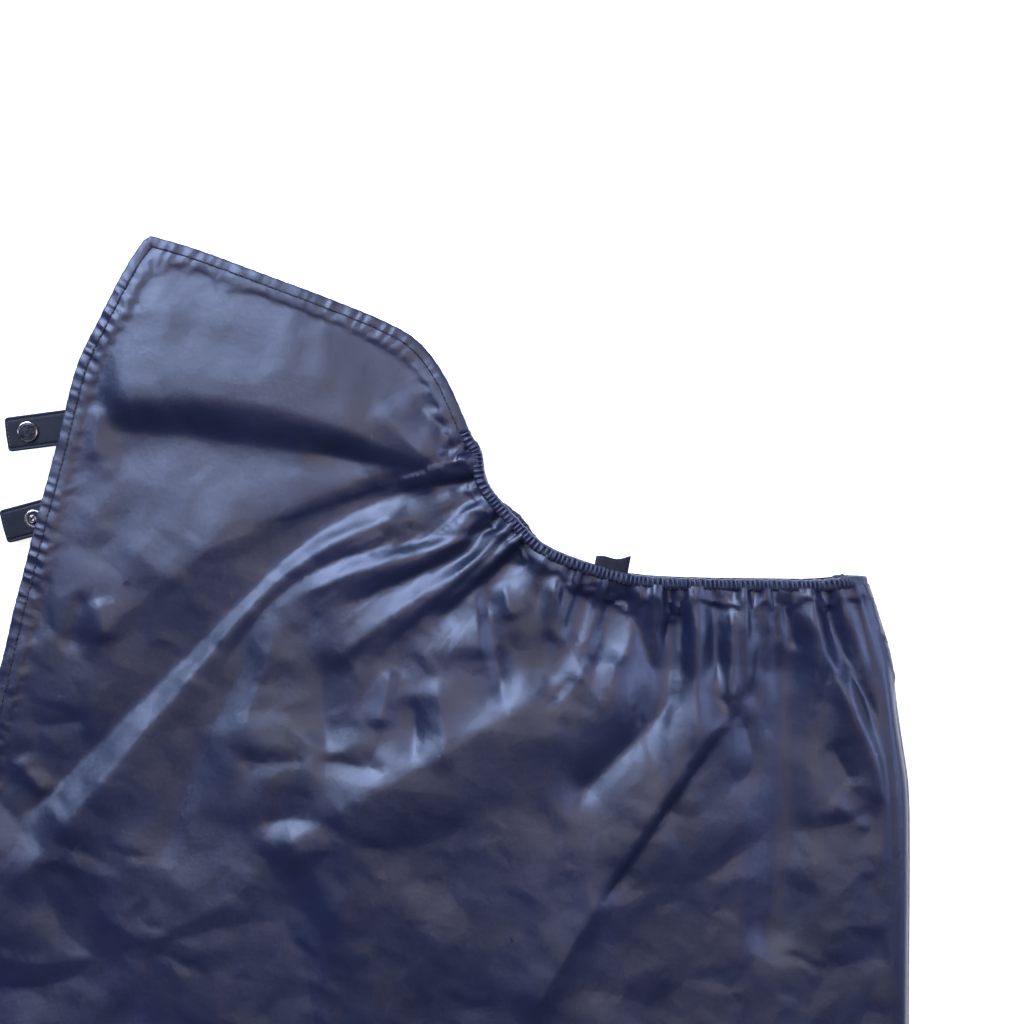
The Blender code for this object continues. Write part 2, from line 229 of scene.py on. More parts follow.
def dress(obj: bpy.types.Object, material: bpy.types.Material) -> None:
    """Gives a piece its one material.

    Args:
        obj: The piece.
        material: Its finish.
    """
    obj.data.materials.clear()
    obj.data.materials.append(material)


# Plan lines and relief.

class PlanLine:
    """A smooth line in plan, through a few points, measured by its length."""

    def __init__(self, points: Plan | np.ndarray, per_span: int = 12, curved: bool = True) -> None:
        """Runs a curve through the points.

        Args:
            points: Plan points in order.
            per_span: Steps between two of them.
            curved: Whether to round the line through its points, or to keep straight runs.
        """
        given = np.asarray(points, float)
        self.points = self._rounded(given, per_span) if curved else given
        steps = np.linalg.norm(np.diff(self.points, axis=0), axis=1)
        self.lengths = np.concatenate([[0.0], np.cumsum(steps)])
        self.length = float(self.lengths[-1])

    @staticmethod
    def _rounded(given: np.ndarray, per_span: int) -> np.ndarray:
        """Points along a Catmull-Rom curve.

        Args:
            given: The few points given.
            per_span: Steps between two of them.

        Returns:
            The points of the curve, ends included.
        """
        ends = np.vstack([2 * given[0] - given[1], given, 2 * given[-1] - given[-2]])
        t = np.linspace(0.0, 1.0, per_span, endpoint=False)[:, None]
        spans = []
        for a, b, c, d in zip(ends, ends[1:], ends[2:], ends[3:]):
            spans.append(0.5 * (2 * b + (c - a) * t + (2 * a - 5 * b + 4 * c - d) * t**2
                                + (3 * b - a - 3 * c + d) * t**3))
        return np.vstack([*spans, given[-1]])

    def at(self, length: np.ndarray) -> np.ndarray:
        """Plan points at these lengths along the line."""
        return np.stack([np.interp(length, self.lengths, self.points[:, k]) for k in (0, 1)], axis=-1)

    def inward(self, length: np.ndarray) -> np.ndarray:
        """Unit directions to the right of the line, into the cloth, at these lengths.

        Args:
            length: Lengths along the line.

        Returns:
            One direction for each.
        """
        reach = 0.004
        along = self.at(np.minimum(length + reach, self.length)) - self.at(np.maximum(length - reach, 0.0))
        along /= np.linalg.norm(along, axis=-1, keepdims=True)
        return np.stack([along[..., 1], -along[..., 0]], axis=-1)

    def offset(self, distance: float) -> "PlanLine":
        """The line moved to its right."""
        at = np.linspace(0.0, self.length, max(8, int(self.length / 0.004)))
        return PlanLine(self.at(at) + distance * self.inward(at), curved=False)

    def reversed(self) -> "PlanLine":
        """The line run the other way."""
        return PlanLine(self.points[::-1], curved=False)

    def joined(self, other: "PlanLine") -> "PlanLine":
        """This line followed by another."""
        return PlanLine(np.vstack([self.points, other.points]), curved=False)

    def nearest(self, x: np.ndarray, y: np.ndarray) -> tuple[np.ndarray, np.ndarray, np.ndarray]:
        """Where plan points lie from the line.

        Args:
            x: Their X.
            y: Their Y.

        Returns:
            The distance of each, the length along the line of its nearest point, and +1 on the line's left or
            -1 on its right.
        """
        best = np.full(x.shape, np.inf)
        along = np.zeros(x.shape)
        side = np.ones(x.shape)
        for i, (a, b) in enumerate(zip(self.points, self.points[1:])):
            step = b - a
            size = float(step @ step)
            if size < 1e-14:
                continue
            dx, dy = x - a[0], y - a[1]
            t = np.clip((dx * step[0] + dy * step[1]) / size, 0.0, 1.0)
            away = np.hypot(dx - t * step[0], dy - t * step[1])
            closer = away < best
            best = np.where(closer, away, best)
            along = np.where(closer, self.lengths[i] + t * math.sqrt(size), along)
            side = np.where(closer, np.sign(step[0] * dy - step[1] * dx), side)
        return best, along, side


@dataclass(frozen=True)
class Fold:
    """A crease or a ridge along an arc: it falls away to each side over its own half width."""

    start: tuple[float, float]
    heading: float  # degrees from +X towards +Y
    length: float
    height: float
    left: float
    right: float
    bend: float = 0.0  # degrees that it turns to the left
    turn_from: float = 0.0
    turn_over: float | None = None  # the rest of its length, unless given
    sharpness: float = 1.3

    STEPS = 25

    def line(self) -> PlanLine:
        """The arc that the fold follows: straight, then turning evenly, then straight again.

        Returns:
            The arc as a plan line.
        """
        along = np.linspace(0.0, self.length, self.STEPS)
        turn_over = self.turn_over or self.length - self.turn_from
        turned = np.clip((along - self.turn_from) / turn_over, 0.0, 1.0)
        headings = np.radians(self.heading + self.bend * turned)
        middles = (headings[1:] + headings[:-1]) / 2
        moves = along[1] * np.column_stack([np.cos(middles), np.sin(middles)])
        return PlanLine(np.vstack([self.start, self.start + np.cumsum(moves, axis=0)]), curved=False)

    def raised(self, x: np.ndarray, y: np.ndarray) -> np.ndarray:
        """Height that the fold adds at plan points.

        Args:
            x: Their X.
            y: Their Y.

        Returns:
            The height at each, 0 away from the fold.
        """
        line = self.line()
        reach = 3.0 * max(self.left, self.right)
        low, high = line.points.min(0) - reach, line.points.max(0) + reach
        inside = (x > low[0]) & (x < high[0]) & (y > low[1]) & (y < high[1])
        result = np.zeros(x.shape)
        away, along, side = line.nearest(x[inside], y[inside])
        width = np.where(side > 0, self.left, self.right)
        taper = min(0.03, self.length / 4)
        ends = closed_ends(along, line.length, taper)
        result[inside] = self.height * ends * np.exp(-((away / width) ** self.sharpness))
        return result


class Crumple:
    """Flat facets with creases between them, as in crisp coated cloth, from seeded heights on a lattice."""

    SIZE = 257

    def __init__(self, pitch: float, height: float, seed: int) -> None:
        """Draws the lattice heights.

        Args:
            pitch: Size of a facet.
            height: How far facets rise and fall.
            seed: Seed of the random draws.
        """
        draws = np.random.default_rng(seed)
        self.pitch = pitch
        self.height = height
        self.turn = draws.uniform(0.0, math.pi)
        self.heights = draws.uniform(-1.0, 1.0, (self.SIZE, self.SIZE))
        self.split = draws.random((self.SIZE, self.SIZE)) < 0.5
        self.waves = draws.uniform(0.0, 2 * math.pi, 6)

    def _bent(self, x: np.ndarray, y: np.ndarray) -> tuple[np.ndarray, np.ndarray]:
        """Turned and bent lattice coordinates, so that no grid shows.

        Args:
            x: Their X.
            y: Their Y.

        Returns:
            The two lattice coordinates of each point.
        """
        a, b, c, d, e, f = self.waves
        u = (x * math.cos(self.turn) - y * math.sin(self.turn)) / self.pitch + self.SIZE / 2
        v = (x * math.sin(self.turn) + y * math.cos(self.turn)) / self.pitch + self.SIZE / 2
        bent_u = (u + 0.42 * np.sin(1.3 * v + a) + 0.25 * np.sin(2.9 * v + 1.7 * u + b)
                  + 0.2 * np.sin(0.6 * u + c))
        bent_v = (v + 0.42 * np.sin(1.1 * u + d) + 0.25 * np.sin(2.3 * u - 1.9 * v + e)
                  + 0.2 * np.sin(0.7 * v + f))
        return bent_u, bent_v

    def raised(self, x: np.ndarray, y: np.ndarray) -> np.ndarray:
        """Height that the facets add at plan points.

        Args:
            x: Their X.
            y: Their Y.

        Returns:
            The height at each.
        """
        u, v = self._bent(x, y)
        i, j = np.floor(u).astype(int), np.floor(v).astype(int)
        p, q = u - i, v - j
        i, j = i % (self.SIZE - 1), j % (self.SIZE - 1)
        h00, h10 = self.heights[i, j], self.heights[i + 1, j]
        h01, h11 = self.heights[i, j + 1], self.heights[i + 1, j + 1]
        rising = np.where(p > q, h00 + p * (h10 - h00) + q * (h11 - h10),
                          h00 + q * (h01 - h00) + p * (h11 - h01))
        falling = np.where(p + q < 1, h00 + p * (h10 - h00) + q * (h01 - h00),
                           h11 + (1 - p) * (h01 - h11) + (1 - q) * (h10 - h11))
        return self.height * np.where(self.split[i, j], rising, falling)


@dataclass(frozen=True)
class Gathers:
    """Pleats that run down from an elastic edge and fade."""

    pitch: float
    height: float
    start: float
    reach: float
    seed: int

    def raised(self, away: np.ndarray, along: np.ndarray) -> np.ndarray:
        """Height of the pleats.

        Args:
            away: Distance from the elastic.
            along: Length along it.

        Returns:
            The height at each point.
        """
        draws = np.random.default_rng(self.seed)
        phase = drifting_phase(along, self.pitch, (0.11, 0.23, 0.41, 0.67), 0.75, draws)
        drift = 1.6 * np.sin(34.0 * away + wave_shift(draws))
        crisp = squared_off(np.sin(phase + drift * away / 0.1), 0.8)
        uneven = 0.65 + 0.35 * np.sin(2 * math.pi * along / (3.7 * self.pitch) + wave_shift(draws))
        fade = smoothstep((away + 0.002) / max(self.start, 1e-4)) * np.exp(-((away / self.reach) ** 1.4))
        return self.height * uneven * crisp * fade


# Folds of the near side that the camera sees, by what causes them.

PLATEAU_FOLDS = (  # the smooth neck flap ends in a dark slope that faces the belly
    Fold((-0.220, 0.580), 10, 0.27, 0.0090, 0.060, 0.019, bend=-45, sharpness=1.9),
    Fold((-0.220, 0.560), -5, 0.22, -0.0040, 0.013, 0.045, bend=-5, sharpness=1.6),
    Fold((-0.070, 0.545), -10, 0.11, -0.0040, 0.010, 0.014),
    Fold((-0.200, 0.665), -20, 0.15, 0.0030, 0.030, 0.030, sharpness=2.0),
    Fold((-0.170, 0.640), -25, 0.10, -0.0022, 0.020, 0.020, bend=10, sharpness=1.8),
    Fold((-0.060, 0.640), -60, 0.06, 0.0018, 0.018, 0.018, bend=-50, sharpness=1.8),
    Fold((0.010, 0.580), -35, 0.04, -0.0032, 0.009, 0.009, bend=-10),
    Fold((-0.015, 0.580), -60, 0.07, 0.0032, 0.012, 0.010, bend=30),
    Fold((0.055, 0.550), 195, 0.03, -0.0022, 0.004, 0.004),
    Fold((0.055, 0.535), 155, 0.03, 0.0024, 0.005, 0.005, bend=30),
    Fold((0.060, 0.520), 180, 0.04, -0.0024, 0.005, 0.005),
)
CHEST_FOLDS = (  # long creases that fan from the start of the elastic down to the chest edge
    Fold((0.010, 0.535), 195, 0.28, 0.0036, 0.014, 0.050, bend=30),
    Fold((0.030, 0.520), 190, 0.40, -0.0060, 0.009, 0.018, bend=35, turn_over=0.14),
    Fold((0.020, 0.500), 190, 0.42, 0.0052, 0.018, 0.014, bend=40, turn_over=0.16),
    Fold((0.080, 0.490), 190, 0.24, -0.0044, 0.009, 0.009, bend=50, turn_from=0.10, turn_over=0.12),
    Fold((0.075, 0.485), 190, 0.16, 0.0030, 0.009, 0.009, bend=15),
    Fold((0.080, 0.480), 200, 0.14, -0.0034, 0.008, 0.008, bend=5),
    Fold((0.085, 0.480), 205, 0.17, 0.0042, 0.010, 0.013, bend=20),
    Fold((0.095, 0.475), 215, 0.10, -0.0044, 0.009, 0.008, bend=10),
    Fold((0.055, 0.450), 275, 0.06, 0.0044, 0.007, 0.020),
    Fold((0.060, 0.455), 280, 0.10, -0.0052, 0.009, 0.011),
    Fold((-0.100, 0.420), 245, 0.20, -0.0042, 0.014, 0.022, bend=5),
    Fold((-0.085, 0.420), 250, 0.10, 0.0022, 0.009, 0.008),
    Fold((-0.230, 0.445), 285, 0.05, -0.0024, 0.008, 0.008, bend=-60),
    Fold((-0.215, 0.440), 280, 0.035, 0.0022, 0.008, 0.008),
    Fold((-0.215, 0.580), 265, 0.045, 0.0020, 0.007, 0.007),
    Fold((-0.270, 0.345), 5, 0.05, -0.0028, 0.010, 0.012),
    Fold((-0.275, 0.325), 305, 0.04, 0.0026, 0.010, 0.010),
    Fold((-0.055, 0.400), 265, 0.08, -0.0028, 0.010, 0.009, bend=20),
    Fold((-0.120, 0.320), 0, 0.06, -0.0028, 0.009, 0.010),
    Fold((-0.065, 0.320), -5, 0.06, -0.0026, 0.010, 0.010),
)
SHOULDER_FOLDS = (  # the deep swag under the middle of the elastic and the large smooth facet below it
    Fold((0.155, 0.455), 265, 0.12, -0.0060, 0.012, 0.015, bend=-50),
    Fold((0.175, 0.395), 190, 0.31, 0.0085, 0.052, 0.017, bend=20, turn_over=0.06, sharpness=1.6),
    Fold((0.160, 0.450), 290, 0.085, -0.0038, 0.007, 0.006),
    Fold((0.205, 0.445), 270, 0.20, -0.0068, 0.011, 0.019, bend=-45, turn_from=0.06, turn_over=0.03),
    Fold((0.215, 0.445), 270, 0.13, 0.0060, 0.008, 0.009),
    Fold((-0.005, 0.390), 260, 0.05, 0.0030, 0.009, 0.011),
    Fold((0.025, 0.385), 285, 0.075, 0.0032, 0.008, 0.019, bend=-15),
    Fold((0.010, 0.370), 280, 0.055, -0.0028, 0.008, 0.009, bend=-20),
    Fold((-0.110, 0.270), 25, 0.08, -0.0038, 0.014, 0.012, bend=-50),
    Fold((0.115, 0.455), 265, 0.05, 0.0028, 0.008, 0.008),
    Fold((0.075, 0.450), 285, 0.03, 0.0024, 0.006, 0.006),
    Fold((0.130, 0.450), 255, 0.045, -0.0030, 0.007, 0.007),
)
SPINE_FOLDS = (  # narrow drapes that hang from the straight stretch of elastic
    Fold((0.230, 0.445), 270, 0.07, -0.0056, 0.006, 0.006),
    Fold((0.240, 0.445), 270, 0.095, 0.0058, 0.006, 0.005),
    Fold((0.240, 0.365), 235, 0.28, 0.0060, 0.012, 0.020, bend=5),
    Fold((0.240, 0.350), 235, 0.17, -0.0040, 0.008, 0.006),
    Fold((0.245, 0.360), 290, 0.08, -0.0038, 0.009, 0.009, bend=-70, turn_from=0.03, turn_over=0.03),
    Fold((0.260, 0.445), 265, 0.08, 0.0036, 0.006, 0.006),
    Fold((0.275, 0.410), 275, 0.24, -0.0095, 0.018, 0.015, bend=-15, sharpness=1.7),
    Fold((0.275, 0.445), 285, 0.05, -0.0036, 0.006, 0.006),
    Fold((0.295, 0.445), 280, 0.22, 0.0070, 0.010, 0.012, bend=15, turn_over=0.06),
    Fold((0.305, 0.445), 285, 0.12, -0.0056, 0.008, 0.007, bend=20),
    Fold((0.320, 0.445), 285, 0.07, 0.0028, 0.007, 0.007, bend=15),
    Fold((0.310, 0.295), -40, 0.04, 0.0024, 0.008, 0.008),
    Fold((0.310, 0.335), -60, 0.04, -0.0022, 0.008, 0.007),
)
CALM_PATCHES = (  # stretches of cloth that lie smooth: centre, reach along X and along Y
    ((-0.120, 0.515), (0.095, 0.040)),
    ((0.110, 0.310), (0.065, 0.040)),
    ((-0.125, 0.320), (0.020, 0.045)),
)


@dataclass(frozen=True)
class SeamPuckers:
    """Short wrinkles that a row of stitches pulls into the cloth on both sides of it."""

    line: Plan
    pitch: float
    height: float
    reach: float
    seed: int

    def raised(self, x: np.ndarray, y: np.ndarray) -> np.ndarray:
        """Height that the puckers add at plan points.

        Args:
            x: Their X.
            y: Their Y.

        Returns:
            The height at each.
        """
        line = PlanLine(self.line, per_span=5)
        draws = np.random.default_rng(self.seed)
        away, along, _ = line.nearest(x, y)
        phase = drifting_phase(along, self.pitch, (0.17, 0.29, 0.47), 1.1, draws)
        uneven = 0.55 + 0.45 * np.sin(along * 37.0 + wave_shift(draws))
        lean = np.sin(phase + (away - HEM) * 180.0)
        return self.height * uneven * lean * np.exp(-(((away - HEM) / self.reach) ** 2))


@dataclass
class ClothRelief:
    """Height of one side's cloth over its plan."""

    base: float
    lowest: float
    highest: float
    folds: tuple[Fold, ...] = ()
    crumples: tuple[tuple[Crumple, float], ...] = ()
    gathers: tuple[Gathers, ...] = ()
    puckers: tuple[SeamPuckers, ...] = ()
    supports: tuple[str, ...] = ()
    edge_height: float | None = None
    withers: PlanLine = field(default_factory=lambda: PlanLine(WITHERS_LINE))

    CLEARANCE = 0.0009
    SUPPORT_SLOPE = 0.35
    FLAP_CRUMPLE = 0.35  # share of the crumple that the smooth neck flap keeps
    FLAP_END = 0.62  # Y where the flap's calm starts to give way, over the next length
    FLAP_FADE = 0.10
    PATCH_CALM = 0.65  # share of the crumple that a calm patch takes away
    CALM_BY_ELASTIC = 0.035
    EDGE_FALL = 0.09  # over which the cloth comes down to a free edge

    def raised(self, x: np.ndarray, y: np.ndarray) -> np.ndarray:
        """Height over the base before it is held between its limits.

        Args:
            x: Their X.
            y: Their Y.

        Returns:
            The height at each, over or under the base.
        """
        total = np.zeros(x.shape)
        for fold in self.folds:
            total += fold.raised(x, y)
        away, along, _ = self.withers.nearest(x, y)
        for gathers in self.gathers:
            total += gathers.raised(away, along)
        for puckers in self.puckers:
            total += puckers.raised(x, y)
        below_flap = smoothstep((self.FLAP_END - y) / self.FLAP_FADE)
        calm = self.FLAP_CRUMPLE + (1.0 - self.FLAP_CRUMPLE) * below_flap
        for (middle_x, middle_y), (reach_x, reach_y) in CALM_PATCHES:
            inside = np.exp(-(((x - middle_x) / reach_x) ** 2) - ((y - middle_y) / reach_y) ** 2)
            calm *= 1.0 - self.PATCH_CALM * inside
        quiet = smoothstep(away / self.CALM_BY_ELASTIC)
        for crumple, share in self.crumples:
            total += crumple.raised(x, y) * calm * (share + (1.0 - share) * quiet)
        return total

    def _settled(self, x: np.ndarray, y: np.ndarray) -> np.ndarray:
        """How far the cloth comes down to its free edges, between the pieces that hold it up.

        Args:
            x: Their X.
            y: Their Y.

        Returns:
            The drop at each, 0 or less.
        """
        if self.edge_height is None:
            return np.zeros(x.shape)
        edge = PlanLine(REAR_LINE).joined(PlanLine(BELLY_LINE))
        away, along, _ = edge.nearest(x, y)
        wave = 0.6 + 0.4 * np.sin(along * 19.0 + 1.5 * np.sin(along * 7.0))
        return (self.edge_height - self.base) * wave * (1.0 - smoothstep(away / self.EDGE_FALL))

    def __call__(self, x: np.ndarray, y: np.ndarray) -> np.ndarray:
        """Height of the cloth at plan points.

        Args:
            x: Their X.
            y: Their Y.

        Returns:
            The height at each, over the ground.
        """
        raised = self.raised(x, y) + self._settled(x, y)
        up, down = self.highest - self.base, self.base - self.lowest
        height = self.base + np.where(raised > 0, up * np.tanh(raised / up), down * np.tanh(raised / down))
        for node in self.supports:
            low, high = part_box(node)
            outside = np.hypot(np.maximum(np.maximum(low.x - x, x - high.x), 0.0),
                               np.maximum(np.maximum(low.y - y, y - high.y), 0.0))
            height = np.maximum(height, high.z + self.CLEARANCE - self.SUPPORT_SLOPE * outside)
        return height


# Finishes.

class Nodes:
    """A material's node tree, built one node at a time."""

    def __init__(self, name: str) -> None:
        """Starts a material with its shader and object coordinates.

        Args:
            name: Name of the material.
        """
        self.material = bpy.data.materials.new(name)
        self.material.use_nodes = True
        self.tree = self.material.node_tree
        self.shader = self.tree.nodes["Principled BSDF"]
        self.place = self.add("ShaderNodeTexCoord").outputs["Object"]

    def add(self, kind: str, **inputs: object) -> bpy.types.Node:
        """Adds a node; each input is a value or a socket to link.

        Args:
            kind: Blender's name of the node type.
            inputs: Values or sockets, with _ for a space in a name.

        Returns:
            The new node.
        """
        node = self.tree.nodes.new(kind)
        for name, value in inputs.items():
            self.set(node, name.replace("_", " "), value)
        return node

    def set(self, node: bpy.types.Node, name: str, value: object) -> None:
        """Sets or links one of a node's inputs.

        Args:
            node: The node.
            name: Name of its input.
            value: A value, or a socket to link.
        """
        if isinstance(value, bpy.types.NodeSocket):
            self.tree.links.new(value, node.inputs[name])
        else:
            node.inputs[name].default_value = value

    def noise(self, scale: float, detail: float = 3.0, roughness: float = 0.5) -> bpy.types.NodeSocket:
        """A noise pattern in object space."""
        node = self.add("ShaderNodeTexNoise", Vector=self.place, Scale=scale, Detail=detail,
                        Roughness=roughness)
        return node.outputs["Fac"]

    def ribs(self, pitch: float, direction: str, distortion: float = 0.0) -> bpy.types.NodeSocket:
        """Even ribs across one axis of object space.

        Args:
            pitch: Width of a rib and its gap.
            direction: The axis that they are counted along.
            distortion: How far they wander.

        Returns:
            The pattern, from 0 to 1.
        """
        node = self.add("ShaderNodeTexWave", Vector=self.place, Scale=math.pi / (10.0 * pitch),
                        Distortion=distortion)
        node.bands_direction = direction
        return node.outputs["Fac"]

    def spread(self, value: bpy.types.NodeSocket, low: float, high: float) -> bpy.types.NodeSocket:
        """A 0.3 to 0.7 pattern spread between two values.

        Args:
            value: The pattern.
            low: Its value at 0.3.
            high: Its value at 0.7.

        Returns:
            The spread values.
        """
        node = self.add("ShaderNodeMapRange", Value=value)
        node.inputs["From Min"].default_value = 0.3
        node.inputs["From Max"].default_value = 0.7
        node.inputs["To Min"].default_value = low
        node.inputs["To Max"].default_value = high
        return node.outputs["Result"]

    def ramp(self, value: bpy.types.NodeSocket, dark: Sequence[float],
             light: Sequence[float]) -> bpy.types.NodeSocket:
        """A colour between two, by a pattern.

        Args:
            value: The pattern.
            dark: Colour up to 0.3.
            light: Colour from 0.7.

        Returns:
            The colours.
        """
        node = self.add("ShaderNodeValToRGB", Fac=value)
        node.color_ramp.elements[0].position = 0.3
        node.color_ramp.elements[0].color = (*dark, 1.0)
        node.color_ramp.elements[1].position = 0.7
        node.color_ramp.elements[1].color = (*light, 1.0)
        return node.outputs["Color"]

    def bump(self, height: bpy.types.NodeSocket, distance: float, strength: float = 1.0,
             over: bpy.types.NodeSocket | None = None) -> bpy.types.NodeSocket:
        """A bump, over another one where it is given.

        Args:
            height: The pattern.
            distance: Its depth.
            strength: How much of it shows.
            over: A bump that lies under it.

        Returns:
            The bent normal.
        """
        node = self.add("ShaderNodeBump", Height=height, Distance=distance, Strength=strength)
        if over is not None:
            self.set(node, "Normal", over)
        return node.outputs["Normal"]

    def product(self, first: bpy.types.NodeSocket, second: bpy.types.NodeSocket) -> bpy.types.NodeSocket:
        """Two patterns multiplied.

        Args:
            first: One pattern.
            second: The other.

        Returns:
            Their product.
        """
        node = self.add("ShaderNodeMath")
        node.operation = "MULTIPLY"
        self.tree.links.new(first, node.inputs[0])
        self.tree.links.new(second, node.inputs[1])
        return node.outputs["Value"]


@dataclass(frozen=True)
class Taffeta:
    """Coated nylon taffeta: a fine plain weave, a satin gloss, small creases and a slightly uneven dye."""

    name: str
    dark: tuple[float, float, float] = (0.0055, 0.0080, 0.0240)
    light: tuple[float, float, float] = (0.0090, 0.0130, 0.0400)
    roughness: tuple[float, float] = (0.31, 0.39)
    thread: float = 0.00045
    crease: float = 0.0006
    gloss: float = 0.75
    sheen: float = 0.05

    def build(self) -> bpy.types.Material:
        """Makes the material.

        Returns:
            The new material.
        """
        nodes = Nodes(self.name)
        shader = nodes.shader
        dye = nodes.noise(scale=14.0, detail=5.0, roughness=0.6)
        nodes.set(shader, "Base Color", nodes.ramp(dye, self.dark, self.light))
        smears = nodes.noise(scale=45.0, detail=4.0)
        nodes.set(shader, "Roughness", nodes.spread(smears, *self.roughness))
        creases = nodes.bump(nodes.noise(scale=62.0, detail=4.0, roughness=0.62), self.crease, strength=0.55)
        weave = nodes.product(nodes.ribs(self.thread, "X"), nodes.ribs(self.thread, "Y"))
        nodes.set(shader, "Normal", nodes.bump(weave, distance=0.00006, strength=0.6, over=creases))
        shader.inputs["Specular IOR Level"].default_value = self.gloss
        shader.inputs["Sheen Weight"].default_value = self.sheen
        shader.inputs["Sheen Roughness"].default_value = 0.35
        shader.inputs["Sheen Tint"].default_value = (0.55, 0.62, 1.0, 1.0)
        return nodes.material


@dataclass(frozen=True)
class Woven:
    """Webbing, elastic or thread: ribs one way and finer ones the other, over a matt yarn."""

    name: str
    dark: tuple[float, float, float]
    light: tuple[float, float, float]
    roughness: tuple[float, float]
    rib: float
    depth: float

    def build(self) -> bpy.types.Material:
        """Makes the material.

        Returns:
            The new material.
        """
        nodes = Nodes(self.name)
        shader = nodes.shader
        ribs = nodes.product(nodes.ribs(self.rib, "X"), nodes.ribs(self.rib * 0.8, "Y"))
        dye = nodes.noise(scale=70.0, detail=4.0)
        nodes.set(shader, "Base Color", nodes.ramp(dye, self.dark, self.light))
        nodes.set(shader, "Roughness", nodes.spread(nodes.noise(scale=120.0), *self.roughness))
        fuzz = nodes.bump(nodes.noise(scale=900.0, detail=2.0), distance=0.00008, strength=0.5)
        nodes.set(shader, "Normal", nodes.bump(ribs, self.depth, strength=0.9, over=fuzz))
        shader.inputs["Sheen Weight"].default_value = 0.25
        return nodes.material


@dataclass(frozen=True)
class Plated:
    """Stamped and plated metal: fine scratches, dull patches and a slightly uneven tone."""

    name: str
    dark: tuple[float, float, float]
    light: tuple[float, float, float]
    roughness: tuple[float, float]

    def build(self) -> bpy.types.Material:
        """Makes the material.

        Returns:
            The new material.
        """
        nodes = Nodes(self.name)
        shader = nodes.shader
        patches = nodes.noise(scale=260.0, detail=4.0)
        nodes.set(shader, "Base Color", nodes.ramp(patches, self.dark, self.light))
        wear = nodes.noise(scale=520.0, detail=5.0)
        nodes.set(shader, "Roughness", nodes.spread(wear, *self.roughness))
        scratches = nodes.noise(scale=1800.0, detail=2.0)
        nodes.set(shader, "Normal", nodes.bump(scratches, distance=0.00003, strength=0.35))
        shader.inputs["Metallic"].default_value = 1.0
        return nodes.material


class Finish(Enum):
    """The rug's finishes, each with the record's slot that it belongs to."""

    SHELL = (Taffeta("navy_taffeta"), "taffeta")
    TRIM = (Taffeta("navy_trim", (0.0065, 0.0095, 0.0300), (0.0110, 0.0160, 0.0470), (0.38, 0.50),
                    thread=0.0005, crease=0.0005), "taffeta_trim")
    BINDING = (Taffeta("black_taffeta", (0.0040, 0.0048, 0.0090), (0.0075, 0.0088, 0.0160), (0.46, 0.60),
                       thread=0.0005, crease=0.0006, gloss=0.28, sheen=0.02), "taffeta_trim")
    THREAD = (Woven("black_thread", (0.006, 0.007, 0.014), (0.012, 0.013, 0.022), (0.5, 0.7),
                    rib=0.0003, depth=0.00004), "taffeta_trim")
    WEBBING = (Woven("black_webbing", (0.010, 0.010, 0.012), (0.020, 0.020, 0.023), (0.6, 0.8),
                     rib=0.0011, depth=0.00022), "webbing")
    ELASTIC = (Woven("black_elastic", (0.010, 0.010, 0.012), (0.022, 0.022, 0.024), (0.7, 0.9),
                     rib=0.0007, depth=0.0002), "elastic")
    NICKEL = (Plated("nickel_plate", (0.55, 0.52, 0.46), (0.72, 0.69, 0.62), (0.18, 0.34)), "nickel")
    GUNMETAL = (Plated("gunmetal_plate", (0.035, 0.036, 0.042), (0.075, 0.076, 0.084), (0.22, 0.36)),
                "gunmetal")
    GUNMETAL_RIM = (Plated("gunmetal_rim", (0.48, 0.46, 0.44), (0.66, 0.64, 0.60), (0.14, 0.24)), "gunmetal")

    def material(self) -> bpy.types.Material:
        """The finish's material, made the first time that it is asked for."""
        return bpy.data.materials.get(self.value[0].name) or self.value[0].build()

    def on(self, obj: bpy.types.Object) -> bpy.types.Object:
        """Dresses a piece in this finish."""
        dress(obj, self.material())
        return obj


# Sewn edges, threads and turned metal.

